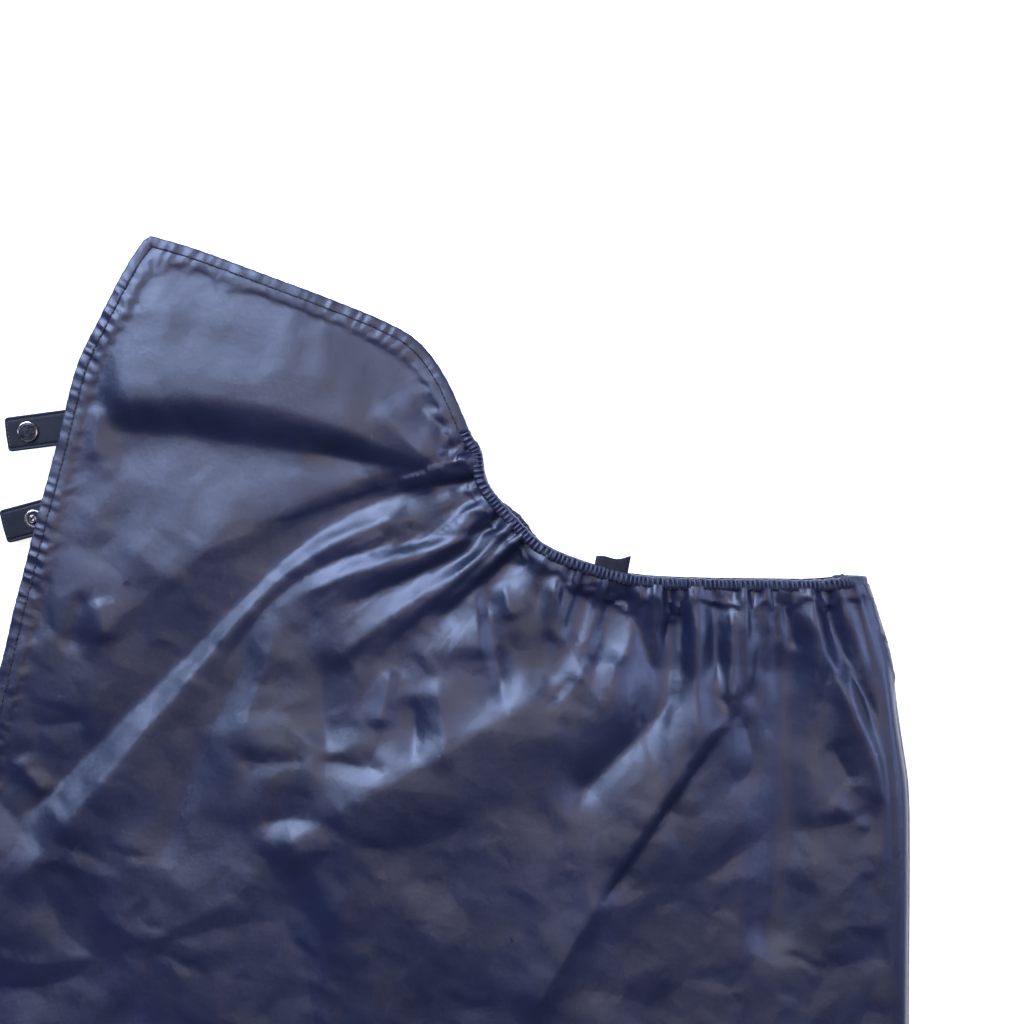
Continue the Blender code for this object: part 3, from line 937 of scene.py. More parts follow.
@dataclass
class SewnBand:
    """A folded strip of cloth along a line: a hem, or a casing with ribs over its elastic."""

    name: str
    line: PlanLine
    width: float
    floor: Heights
    rise: Callable[[np.ndarray], np.ndarray]
    wobble: float = 0.00012
    step: float = 0.0012
    ring: int = 12
    sink: float = 0.0009
    roundness: float = 0.75

    FULLNESS = 0.55  # power that keeps the band's top broad
    END_ROUNDING = 0.002
    STITCH_LIFT = 0.0002

    def across(self, length: np.ndarray, share: np.ndarray) -> np.ndarray:
        """Plan points on the band, from its outer edge at share 0 to its inner edge at 1.

        Args:
            length: Lengths along the line.
            share: Shares of the width.

        Returns:
            One plan point for each.
        """
        outward = self.wobble * (np.sin(length * 610.0) + 0.6 * np.sin(length * 1370.0 + 1.0)) * (1.0 - share)
        inside = share * self.width + outward
        return self.line.at(length) + inside[..., None] * self.line.inward(length)

    def surface(self, length: np.ndarray, share: np.ndarray, up: np.ndarray) -> np.ndarray:
        """Points of the band's skin.

        Args:
            length: Lengths along the line.
            share: From 0 at the outer edge to 1 at the inner edge.
            up: From -1 on the underside to 1 on top.

        Returns:
            One point a row.
        """
        plan = self.across(length, share)
        height = self.floor(plan[:, 0], plan[:, 1])
        lift = np.where(up > 0, up * self.rise(length), up * self.sink)
        return np.column_stack([plan, height + lift])

    def build(self) -> bpy.types.Object:
        """Makes the band as one closed mesh.

        Returns:
            The band's object.
        """
        count = max(12, round(self.line.length / self.step))
        obj = cloth_grid(self.name, count, self.ring)
        unit = read_points(obj)
        length = unit[:, 0] * self.line.length
        angle = 2 * math.pi * unit[:, 1]
        narrow = closed_ends(length, self.line.length, self.END_ROUNDING)
        share = 0.5 - 0.5 * squared_off(np.cos(angle), self.FULLNESS)
        share = 0.5 + (share - 0.5) * narrow
        up = squared_off(np.sin(angle), self.roundness) * narrow
        write_points(obj, self.surface(length, share, up))
        close_mesh(obj, 2e-5)
        shade_smooth(obj, 75.0)
        return obj

    def seam(self, share: float, pitch: float, start: float = 0.004) -> tuple[np.ndarray, np.ndarray]:
        """Middles and directions of the stitches of one seam along the band.

        Args:
            share: Where the seam runs across the band.
            pitch: Length of a stitch and its gap.
            start: Length left free at each end.

        Returns:
            One middle and one direction for each stitch.
        """
        length = np.arange(start, self.line.length - start, pitch)
        shares, top = np.full(length.shape, share), np.full(length.shape, self._crown(share))
        before = self.surface(length - pitch * 0.3, shares, top)
        after = self.surface(length + pitch * 0.3, shares, top)
        middles = (before + after) / 2
        middles[:, 2] += self.STITCH_LIFT
        return middles, after - before

    def _crown(self, share: float) -> float:
        """How high the band's skin is at a share of its width."""
        cosine = abs(2 * share - 1) ** (1 / self.FULLNESS)
        return math.sqrt(max(0.0, 1 - cosine * cosine)) ** self.roundness


@dataclass(frozen=True)
class Thread:
    """Sewing thread: short rounded stitches, sunk a little into the cloth."""

    radius: float = 0.00046
    length: float = 0.0024

    def _stitch(self) -> tuple[np.ndarray, list[tuple[int, ...]]]:
        """One stitch along Z: its points and its faces.

        Returns:
            The stitch's points, and the corners of each of its faces.
        """
        deselect()
        bpy.ops.mesh.primitive_cylinder_add(vertices=6, radius=self.radius, depth=self.length * 0.7)
        stitch = bpy.context.object
        bpy.ops.object.mode_set(mode="EDIT")
        bpy.ops.mesh.select_mode(type="FACE")
        for end in (-1.0, 1.0):
            bpy.ops.object.mode_set(mode="OBJECT")
            for polygon in stitch.data.polygons:
                polygon.select = polygon.normal.z * end > 0.9
            bpy.ops.object.mode_set(mode="EDIT")
            bpy.ops.mesh.extrude_region_move(
                TRANSFORM_OT_translate={"value": (0, 0, end * self.length * 0.15)})
            bpy.ops.transform.resize(value=(0.45, 0.45, 1.0))
        bpy.ops.object.mode_set(mode="OBJECT")
        points = read_points(stitch)
        faces = [tuple(polygon.vertices) for polygon in stitch.data.polygons]
        bpy.data.objects.remove(stitch)
        return points, faces

    def sew(self, name: str, middles: np.ndarray, along: np.ndarray) -> bpy.types.Object:
        """Copies the stitch along a seam, as one piece of thread.

        Args:
            name: Name of the piece.
            middles: Middle of each stitch.
            along: Direction of each stitch.

        Returns:
            The thread's object.
        """
        points, faces = self._stitch()
        forward = along / np.linalg.norm(along, axis=1, keepdims=True)
        side = np.cross(forward, (0.0, 0.0, 1.0))
        side /= np.linalg.norm(side, axis=1, keepdims=True)
        above = np.cross(side, forward)
        rows = (middles[:, None] + points[None, :, 0, None] * side[:, None]
                + points[None, :, 1, None] * above[:, None] + points[None, :, 2, None] * forward[:, None])
        mesh = bpy.data.meshes.new(name)
        joined = [tuple(i + k * len(points) for i in face) for k in range(len(middles)) for face in faces]
        mesh.from_pydata(rows.reshape(-1, 3).tolist(), [], joined)
        obj = bpy.data.objects.new(name, mesh)
        bpy.context.scene.collection.objects.link(obj)
        close_mesh(obj, 1e-7)
        shade_smooth(obj, 60.0)
        return Finish.THREAD.on(obj)


def turned(name: str, profile: Sequence[tuple[float, float]], centre: Vector,
           segments: int = 40) -> bpy.types.Object:
    """Turns a profile about the vertical by extruding and scaling a ring, then closes both ends.

    Args:
        name: Name of the piece.
        profile: Radius and height of each ring from the lowest one up; no radius is zero.
        centre: Where the profile's axis and zero height are.
        segments: Sides of the ring.

    Returns:
        The closed piece, at the origin.
    """
    deselect()
    radius, height = profile[0]
    bpy.ops.mesh.primitive_circle_add(vertices=segments, radius=radius, fill_type="NGON",
                                      location=centre + Vector((0.0, 0.0, height)))
    obj = bpy.context.object
    obj.name = name
    bpy.ops.object.transform_apply(location=True, rotation=True, scale=True)
    bpy.ops.object.mode_set(mode="EDIT")
    bpy.ops.mesh.select_all(action="SELECT")
    for next_radius, next_height in profile[1:]:
        bpy.ops.mesh.extrude_region_move(TRANSFORM_OT_translate={"value": (0.0, 0.0, next_height - height)})
        bpy.ops.transform.resize(value=(next_radius / radius, next_radius / radius, 1.0))
        radius, height = next_radius, next_height
    bpy.ops.object.mode_set(mode="OBJECT")
    close_mesh(obj)
    shade_smooth(obj, 35.0)
    return obj


# The two sides of the rug.

@dataclass
class Sheet:
    """One side's cloth over the plan between four lines."""

    name: str
    inset: float
    across: int
    along: int
    relief: ClothRelief
    rows: tuple[tuple[float, float], ...]
    turns_over: bool = False
    turn_share: float = 0.07
    lap: float = 0.012
    withers_inset: float | None = None  # the same inset, unless given

    TURN_GAP = 0.0008  # how far the turned cloth lies inside the spine's radius
    ROUND_SHARE = 0.8  # of the turned columns, those that go round the spine
    LAP_SHARE = 0.2  # and those that lie under it
    RISE_TO_TURN = 0.010

    def _edges(self) -> tuple[PlanLine, PlanLine, PlanLine, PlanLine]:
        """The lines at the rear, neck, belly and spine, each run from belly to spine or from rear to neck.

        Returns:
            The four lines.
        """
        rear = PlanLine(REAR_LINE).offset(self.inset).reversed()
        withers_inset = self.inset if self.withers_inset is None else self.withers_inset
        withers = PlanLine(WITHERS_LINE).offset(withers_inset)
        top = PlanLine(NECK_HEM_LINE).offset(self.inset).joined(withers)
        left = PlanLine(BELLY_LINE).offset(self.inset).joined(PlanLine(FRONT_LINE).offset(self.inset))
        right = PlanLine(FOLD_LINE).offset(FOLD_RADIUS).reversed()
        return rear, top, left, right

    def plan(self, u: np.ndarray, v: np.ndarray) -> np.ndarray:
        """Plan points of the patch between the four lines.

        Args:
            u: Shares of the way from belly to spine.
            v: Shares of the way from rear to neck.

        Returns:
            One plan point for each pair.
        """
        rear, top, left, right = self._edges()
        p, q = u[:, None], v[:, None]
        corners = ((1 - p) * (1 - q) * (rear.at(0.0) + left.at(0.0)) / 2
                   + p * (1 - q) * (rear.at(rear.length) + right.at(0.0)) / 2
                   + (1 - p) * q * (top.at(0.0) + left.at(left.length)) / 2
                   + p * q * (top.at(top.length) + right.at(right.length)) / 2)
        return ((1 - q) * rear.at(u * rear.length) + q * top.at(u * top.length)
                + (1 - p) * left.at(v * left.length) + p * right.at(v * right.length) - corners)

    def build(self) -> bpy.types.Object:
        """Lays the grid over the plan and round the spine.

        Returns:
            The sheet's object, still without thickness.
        """
        obj = cloth_grid(self.name, self.across, self.along)
        unit = read_points(obj)
        spaced = np.array(self.rows)
        v = np.interp(unit[:, 1], spaced[:, 0], spaced[:, 1])
        flat_share = 1.0 - self.turn_share if self.turns_over else 1.0
        u = np.minimum(unit[:, 0] / flat_share, 1.0)
        plan = self.plan(u, v)
        height = self.relief(plan[:, 0], plan[:, 1])
        if self.turns_over:
            plan, height = self._turn_over(unit[:, 0], plan, height, flat_share)
        write_points(obj, np.column_stack([plan, height]))
        return obj

    def _turn_over(self, share: np.ndarray, plan: np.ndarray, height: np.ndarray,
                   flat_share: float) -> tuple[np.ndarray, np.ndarray]:
        """Carries the last columns round the spine and a little way under.

        Args:
            share: Each point's share of the way across the grid.
            plan: Plan points before the turn.
            height: Their heights.
            flat_share: The share of the grid that stays on top.

        Returns:
            Plan points and heights with the turn.
        """
        top = FOLD_MIDDLE + FOLD_RADIUS - self.TURN_GAP
        away = PlanLine(FOLD_LINE).offset(FOLD_RADIUS).nearest(plan[:, 0], plan[:, 1])[0]
        height = top + (height - top) * smoothstep(away / self.RISE_TO_TURN)
        past = np.clip((share - flat_share) / (1.0 - flat_share), 0.0, 1.0)
        angle = math.pi * np.minimum(past / self.ROUND_SHARE, 1.0)
        under = self.lap * np.maximum(past - self.ROUND_SHARE, 0.0) / self.LAP_SHARE
        slack = 1.0 - 0.05 * (1 + np.sin(plan[:, 1] * 41.0 + 2.0 * np.sin(plan[:, 1] * 17.0)))
        radius = FOLD_RADIUS - self.TURN_GAP
        turned_x = plan[:, 0] + radius * slack * np.sin(angle) - under
        turned_z = top - radius * (1.0 - np.cos(angle))
        over = share > flat_share
        moved = np.column_stack([np.where(over, turned_x, plan[:, 0]), plan[:, 1]])
        return moved, np.where(over, turned_z, height)


@dataclass(frozen=True)
class Settling:
    """A short cloth simulation that lets a laid sheet buckle a little within its folds."""

    frames: int = 14
    growth: float = 0.02
    furthest: float = 0.0022
    held_edge: float = 0.014

    def run(self, obj: bpy.types.Object, lowest: float, edges: Sequence[PlanLine]) -> None:
        """Simulates, then keeps every point near where it was laid.

        Args:
            obj: The sheet.
            lowest: Height that it doesn't pass through.
            edges: Lines along which it is sewn, and stays.
        """
        laid = read_points(obj)
        held = laid[:, 2] < lowest
        for edge in edges:
            held |= edge.nearest(laid[:, 0], laid[:, 1])[0] < self.held_edge
        obj.vertex_groups.new(name="sewn").add(np.flatnonzero(held).tolist(), 1.0, "REPLACE")
        cloth = obj.modifiers.new("Cloth", "CLOTH")
        settings = cloth.settings
        settings.quality = 4
        settings.mass = 0.12
        settings.tension_stiffness = 12.0
        settings.compression_stiffness = 12.0
        settings.shear_stiffness = 6.0
        settings.bending_stiffness = 0.05
        settings.shrink_min = -self.growth
        settings.vertex_group_mass = "sewn"
        settings.effector_weights.gravity = 0.15
        cloth.collision_settings.use_collision = False
        cloth.collision_settings.use_self_collision = False
        cloth.point_cache.frame_start = 1
        cloth.point_cache.frame_end = self.frames
        for number in range(1, self.frames + 1):
            bpy.context.scene.frame_set(number)
        activate(obj)
        bpy.ops.object.modifier_apply(modifier=cloth.name)
        moved = read_points(obj) - laid
        size = np.linalg.norm(moved, axis=1)
        share = self.furthest * np.tanh(size / self.furthest) / np.maximum(size, 1e-9)
        write_points(obj, laid + moved * share[:, None])
        obj.vertex_groups.clear()
        bpy.context.scene.frame_set(1)
        LOG.info("%s settled by %.2f mm at most", obj.name, 1000 * float((size * share).max()))


@dataclass
class RugSide:
    """One side of the rug: its cloth, its four hems, its gathered casing and their stitching."""

    side: str
    body: str
    sheet: Sheet
    hem_rise: float
    casing_rise: float
    casing_floor: float
    casing_out: float
    hem_step: float
    flat: tuple[float, float]
    area: float
    rests_on: str
    replaced: tuple[str, ...]
    sheet_thickness: float = 0.0004
    decimate: float = 1.0
    settling: Settling | None = None

    RIB_PITCH = 0.0033
    STITCH_PITCH = 0.0038
    SHOWS_AT = 0.082  # length along the casing where the off one first shows past the near one
    SHOWS_OVER = 0.018
    SHOWS_FROM = 0.315  # and from where it shows again
    SHOWS_FULLY = 0.030

    def _inset(self) -> float:
        """How far this side's edges lie inside the rug's outline."""
        return OFF_INSET if self.side == "off" else 0.0

    def make_cloth(self) -> bpy.types.Object:
        """The cloth, settled, thinned where it is plain and given its thickness.

        Returns:
            The cloth.
        """
        obj = self.sheet.build()
        if self.settling:
            edges = [PlanLine(line)
                     for line in (NECK_HEM_LINE, WITHERS_LINE, FRONT_LINE, BELLY_LINE, REAR_LINE)]
            self.settling.run(obj, FOLD_MIDDLE, edges)
        if self.decimate < 1.0:
            finish_modifier(obj, "DECIMATE", ratio=self.decimate)
        finish_modifier(obj, "SOLIDIFY", thickness=self.sheet_thickness, offset=0.0)
        shade_smooth(obj, 80.0)
        Finish.SHELL.on(obj)
        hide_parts(*self.replaced)
        return obj

    def make_hems(self) -> list[bpy.types.Object]:
        """The four turned edges, each with its row of stitches.

        Returns:
            Each hem and its thread.
        """
        made = []
        lines = {"neck": NECK_HEM_LINE, "front": FRONT_LINE, "belly": BELLY_LINE, "rear": REAR_LINE}
        for name, points in lines.items():
            line = PlanLine(points).offset(self._inset())
            band = SewnBand(f"{self.side}_{name}_hem_band", line, HEM, self._hem_floor, self._hem_rise,
                            step=self.hem_step)
            hem = Finish.SHELL.on(band.build())
            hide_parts(f"{self.side}_{name}_hem")
            thread = Thread().sew(f"{self.side}_{name}_hem_stitches", *band.seam(0.90, self.STITCH_PITCH))
            made += [hem, thread]
        return made

    def _hem_floor(self, x: np.ndarray, y: np.ndarray) -> np.ndarray:
        """The cloth under a hem, with the small puckers that its stitches pull in."""
        pucker = np.sin(x * 410.0 + 2.0 * np.sin(y * 90.0)) + np.sin(y * 370.0 + 2.0 * np.sin(x * 80.0))
        return self.sheet.relief(x, y) + 0.00012 * pucker

    def _hem_rise(self, length: np.ndarray) -> np.ndarray:
        """Height of a hem over its cloth."""
        return self.hem_rise * (1.0 + 0.13 * np.sin(length * 640.0 + 2.6 * np.sin(length * 130.0)))

    def make_casing(self) -> list[bpy.types.Object]:
        """The ribbed casing over the elastic, and the stitches along its inner edge.

        Returns:
            The casing and its thread.
        """
        line = self._casing_line()
        band = SewnBand(f"{self.side}_neck_casing_band", line, CASING_WIDTH, self._casing_floor,
                        self._casing_rise, wobble=0.00025, step=0.0005, ring=14, sink=0.0004, roundness=0.5)
        casing = Finish.TRIM.on(band.build())
        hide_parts(f"{self.side}_neck_casing")
        thread = Thread(radius=0.0003, length=0.0018).sew(f"{self.side}_neck_casing_stitches",
                                                          *band.seam(0.90, self.RIB_PITCH))
        return [casing, thread]

    def _casing_line(self) -> PlanLine:
        """The outer edge of the casing; the off one shows past the near one only near its two ends.

        Returns:
            The line.
        """
        whole = PlanLine((CASING_START, *WITHERS_LINE))
        length = np.linspace(0.0, whole.length - CASING_END, 120)
        shows = np.exp(-(((length - self.SHOWS_AT) / self.SHOWS_OVER) ** 2))
        shows = shows + smoothstep((length - self.SHOWS_FROM) / self.SHOWS_FULLY)
        inward = self.casing_out * (0.3 - 1.3 * shows)[:, None] * whole.inward(length)
        return PlanLine(whole.at(length) + inward, curved=False)

    def _casing_floor(self, x: np.ndarray, y: np.ndarray) -> np.ndarray:
        """The level underside of the casing."""
        return np.full(x.shape, self.casing_floor)

    def _casing_rise(self, length: np.ndarray) -> np.ndarray:
        """Height of the casing: a row of rounded ribs with tight valleys, no two alike.

        Args:
            length: Lengths along the casing.

        Returns:
            The height at each.
        """
        drift = 0.55 * np.sin(length * 210.0) + 0.4 * np.sin(length * 77.0)
        phase = math.pi * length / self.RIB_PITCH + drift
        rib = np.abs(np.sin(phase)) ** 0.85
        uneven = 0.90 + 0.10 * np.sin(length * 333.0)
        return self.casing_rise * uneven * (0.58 + 0.42 * rib)

    def build(self) -> bpy.types.Object:
        """Makes the whole side and lets its edging ride on its body, and its cloth too unless it turns over
        the spine.

        Returns:
            The cloth.
        """
        cloth = self.make_cloth()
        edging = self.make_hems() + self.make_casing()
        for piece in edging:
            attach(piece, self.body)
        if self.sheet.turns_over:
            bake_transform(cloth)
        else:
            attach(cloth, self.body)
        LOG.info("%s side: cloth with %d faces and %d edge pieces", self.side, len(cloth.data.polygons),
                 len(edging))
        return cloth


@dataclass
class WithersTurn:
    """The casing's turn round the spine, and the small folded tab behind the casing."""

    width: float = 0.0080
    thickness: float = 0.0016
    rib_pitch: float = 0.0033
    lead: float = 0.010  # straight stretch before and after the turn
    inside: float = 0.0012  # how far it lies inside the spine's radius
    end_gap: float = 0.0075  # from the end of the withers line

    def make_turn(self) -> bpy.types.Object:
        """A ribbed strip that runs round the spine from the near casing to the off one.

        Returns:
            The strip.
        """
        obj = cloth_grid("withers_casing_band", 84, 14)
        unit = read_points(obj)
        withers = PlanLine(WITHERS_LINE)
        end = np.full(unit.shape[0], withers.length - self.end_gap)
        length, ring = unit[:, 1], unit[:, 0]
        radius = FOLD_RADIUS - self.inside
        run = ring * (2 * self.lead + math.pi * radius)
        angle = np.clip((run - self.lead) / radius, 0.0, math.pi)
        straight = np.minimum(run, self.lead) - self.lead
        after = np.maximum(run - self.lead - math.pi * radius, 0.0)
        around = 2 * math.pi * length
        share = 0.5 - 0.5 * squared_off(np.cos(around), SewnBand.FULLNESS)
        narrow = closed_ends(ring, 1.0, 0.03)
        rib = np.abs(np.sin(math.pi * run / self.rib_pitch)) ** 0.7
        out = self.thickness * squared_off(np.sin(around), 0.75) * narrow
        out = np.where(out > 0, out * (0.55 + 0.45 * rib), out * 0.4)
        share = 0.5 + (share - 0.5) * narrow
        base = withers.at(end) + (share * self.width)[:, None] * withers.inward(end)
        distance = radius + out
        x = base[:, 0] + distance * np.sin(angle) + np.where(angle <= 0, straight, -after)
        z = FOLD_MIDDLE + distance * np.cos(angle)
        write_points(obj, np.column_stack([x, base[:, 1], z]))
        close_mesh(obj, 2e-5)
        shade_smooth(obj, 75.0)
        Finish.TRIM.on(obj)
        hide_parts("withers_casing_turn")
        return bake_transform(obj)

    def make_tab(self) -> bpy.types.Object:
        """A loop of cloth folded flat, its fold away from the casing.

        Returns:
            The tab.
        """
        low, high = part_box("withers_tab")
        middle, size = (low + high) / 2, high - low
        obj = cloth_grid("withers_tab_loop", 22, 16)
        unit = read_points(obj)
        across = (unit[:, 0] - 0.5) * size.x * 0.92
        around = 2 * math.pi * unit[:, 1]
        reach = squared_off(np.cos(around), 0.5)
        edge = 1.0 - np.abs(2 * unit[:, 0] - 1) ** 8
        taper = 0.40 + 0.60 * (reach + 1.0) / 2.0
        x = middle.x + across + 0.0016 * reach
        y = middle.y + 0.0007 + (size.y / 2 - 0.0012) * reach * np.where(reach > 0, 0.9 + 0.1 * taper, 1.0)
        y += 0.0012 * np.sin((x - low.x) * 260.0)
        thick = (size.z / 2 - 0.0001) * squared_off(np.sin(around), 0.6) * edge
        z = middle.z + thick - 0.0002 * np.abs(np.sin((x - low.x) * 400.0))
        write_points(obj, np.column_stack([x, y, z]))
        close_mesh(obj, 2e-5)
        shade_smooth(obj, 60.0)
        Finish.BINDING.on(obj)
        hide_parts("withers_tab")
        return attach(obj, "near_side")

    def build(self) -> None:
        """Makes both pieces."""
        self.make_turn()
        self.make_tab()
        LOG.info("withers: casing turn and tab")


@dataclass
class ChestStrap:
    """A stitched cloth strap that leaves the front hem and carries one half of the press stud."""

    side: str
    root: Vector
    turn: float
    length: float
    snap_at: float
    replaced: tuple[str, str]
    width: float = 0.025
    root_length: float = 0.036
    thickness: float = 0.0026
    corner: float = 0.0035
    stitch_in: float = 0.0022
    stitch_pitch: float = 0.0029
    groove_depth: float = 0.00042
    groove_width: float = 0.0007
    bend_from: float = -0.002  # the hinge's stretch along the strap
    bend_to: float = 0.0035

    def _placed(self, along: np.ndarray, across: np.ndarray, height: np.ndarray) -> np.ndarray:
        """Points given along, across and over the strap, in the rug's axes."""
        cosine, sine = math.cos(self.turn), math.sin(self.turn)
        return np.column_stack([self.root.x + along * cosine - across * sine,
                                self.root.y + along * sine + across * cosine, self.root.z + height])

    def _point(self, along: float, height: float = 0.0) -> np.ndarray:
        """One point on the strap's middle line, or over it."""
        return self._placed(np.array([along]), np.zeros(1), np.array([height]))[0]

    def _half_width(self, along: np.ndarray) -> np.ndarray:
        """Half the strap's width, less at its rounded end."""
        past = np.clip(along - (self.length - self.corner), 0.0, self.corner)
        return self.width / 2 - self.corner + np.sqrt(np.maximum(self.corner**2 - past**2, 0.0))

    def _skin(self, along: np.ndarray, across: np.ndarray) -> np.ndarray:
        """Height of the strap's face over its middle: padded between its rows of stitches.

        Args:
            along: Lengths along the strap.
            across: Places across it.

        Returns:
            The height at each.
        """
        edge = self._half_width(along) - np.abs(across)
        row = np.exp(-(((edge - self.stitch_in) / self.groove_width) ** 2))
        waves = 0.00012 * np.sin(along * 900.0) * np.exp(-edge / 0.004)
        return self.thickness / 2 - self.groove_depth * row + waves

    def make_strap(self) -> bpy.types.Object:
        """The strap with its sewn root, as one closed piece.

        Returns:
            The strap.
        """
        obj = cloth_grid(f"{self.side}_chest_strap_cloth", 110, 96)
        unit = read_points(obj)
        along = -self.root_length + unit[:, 0] * (self.length + self.root_length)
        around = 2 * math.pi * unit[:, 1]
        cosine, sine = np.cos(around), np.sin(around)
        across = self._half_width(along) * squared_off(cosine, 0.22)
        closing = closed_ends(unit[:, 0], 1.0, 0.012)
        up = squared_off(sine, 0.30)
        height = up * self._skin(along, across) * closing
        write_points(obj, self._placed(along, across * np.maximum(closing, 0.0) ** 0.15, height))
        close_mesh(obj, 3e-5)
        shade_smooth(obj, 60.0)
        Finish.BINDING.on(obj)
        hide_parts(*self.replaced)
        return self._hinged(obj)

    def _hinged(self, obj: bpy.types.Object) -> bpy.types.Object:
        """Bakes the piece's placement into its points.

        Args:
            obj: The piece.

        Returns:
            The same piece.
        """
        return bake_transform(obj)

    def make_stitches(self) -> bpy.types.Object:
        """A row of stitches along each edge and across the end.

        Returns:
            The thread.
        """
        inset = self.width / 2 - self.stitch_in
        run = np.arange(0.0025, self.length - self.stitch_in, self.stitch_pitch)
        turn_row = np.arange(-inset + 0.0030, inset - 0.0020, self.stitch_pitch)
        ahead, sideways = np.full(run.shape, inset), np.full(turn_row.shape, self.length - self.stitch_in)
        along = np.concatenate([run, run, sideways])
        across = np.concatenate([ahead, -ahead, turn_row])
        middles = self._placed(along, across, self._skin(along, across) + 0.0001)
        forward = np.array([math.cos(self.turn), math.sin(self.turn), 0.0])
        sideways_step = np.array([-math.sin(self.turn), math.cos(self.turn), 0.0])
        directions = np.vstack([np.tile(forward, (2 * len(run), 1)),
                                np.tile(sideways_step, (len(turn_row), 1))])
        thread = Thread(radius=0.00028, length=0.0020).sew(f"{self.side}_chest_strap_stitches", middles,
                                                           directions)
        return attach(thread, f"{self.side}_strap")

    def snap_centre(self) -> Vector:
        """Where the press stud's axis meets the strap's face."""
        return Vector(self._point(self.snap_at, self.thickness / 2))

    def build(self) -> None:
        """Makes the strap and its stitches."""
        self.make_strap()
        self.make_stitches()
        LOG.info("%s chest strap", self.side)


@dataclass
class PressStud:
    """The halves of the chest closure: a capped socket on the near strap, a ringed stud on the off one."""

    near: ChestStrap
    off: ChestStrap

    def make_cap(self) -> None:
        """A dark flat cap inside a bright rolled rim, and the shank under it."""
        centre = self.near.snap_centre()
        plate_profile = ((0.0018, -0.0030), (0.0019, 0.0001), (0.0058, 0.0002), (0.0062, 0.0009),
                         (0.0060, 0.0012), (0.0056, 0.0013), (0.0054, 0.0013))
        rim_profile = ((0.0062, 0.0001), (0.0072, 0.0001), (0.0076, 0.0006), (0.0076, 0.0012),
                       (0.0072, 0.0019), (0.0067, 0.0021), (0.0063, 0.0018), (0.0061, 0.0012),
                       (0.0060, 0.0004))
        plate = turned("snap_cap_plate", plate_profile, centre)
        rim = turned("snap_cap_rim", rim_profile, centre)
        Finish.GUNMETAL.on(plate)
        Finish.GUNMETAL_RIM.on(rim)
        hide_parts("snap_cap")
        for piece in (plate, rim):
            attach(piece, "near_strap")

    def make_stud(self) -> None:
        """A bright flange ring, a disc of black taffeta between flange and knob that paints the shade of the
        hollow there, and the knob that snaps into the socket.
        """
        centre = self.off.snap_centre()
        ring_profile = ((0.0062, 0.0001), (0.0066, 0.0005), (0.0067, 0.0010), (0.0064, 0.0015),
                        (0.0059, 0.0016), (0.0055, 0.0012), (0.0054, 0.0003))
        # The disc between flange and knob is painted shade: dark cloth standing in for the hollow's shadow.
        painted_shade_disc_profile = ((0.0050, 0.0001), (0.0052, 0.0004), (0.0050, 0.0006), (0.0040, 0.0006))
        knob_profile = ((0.0024, 0.0003), (0.0022, 0.0012), (0.0023, 0.0020), (0.0028, 0.0026),
                        (0.0029, 0.0031), (0.0025, 0.0035), (0.0016, 0.0036), (0.0011, 0.0033),
                        (0.0008, 0.0026))
        ring = turned("snap_stud_ring", ring_profile, centre)
        painted_shade_disc = turned("snap_stud_painted_shade_disc", painted_shade_disc_profile, centre)
        knob = turned("snap_stud_knob", knob_profile, centre)
        Finish.NICKEL.on(ring)
        # Black taffeta on the disc paints the shade of the stud's hollow.
        Finish.BINDING.on(painted_shade_disc)
        Finish.GUNMETAL_RIM.on(knob)
        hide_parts("snap_stud")
        for piece in (ring, painted_shade_disc, knob):
            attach(piece, "off_strap")

    def build(self) -> None:
        """Makes both halves."""
        self.make_cap()
        self.make_stud()
        LOG.info("press stud: cap, rim, ring, well and knob")


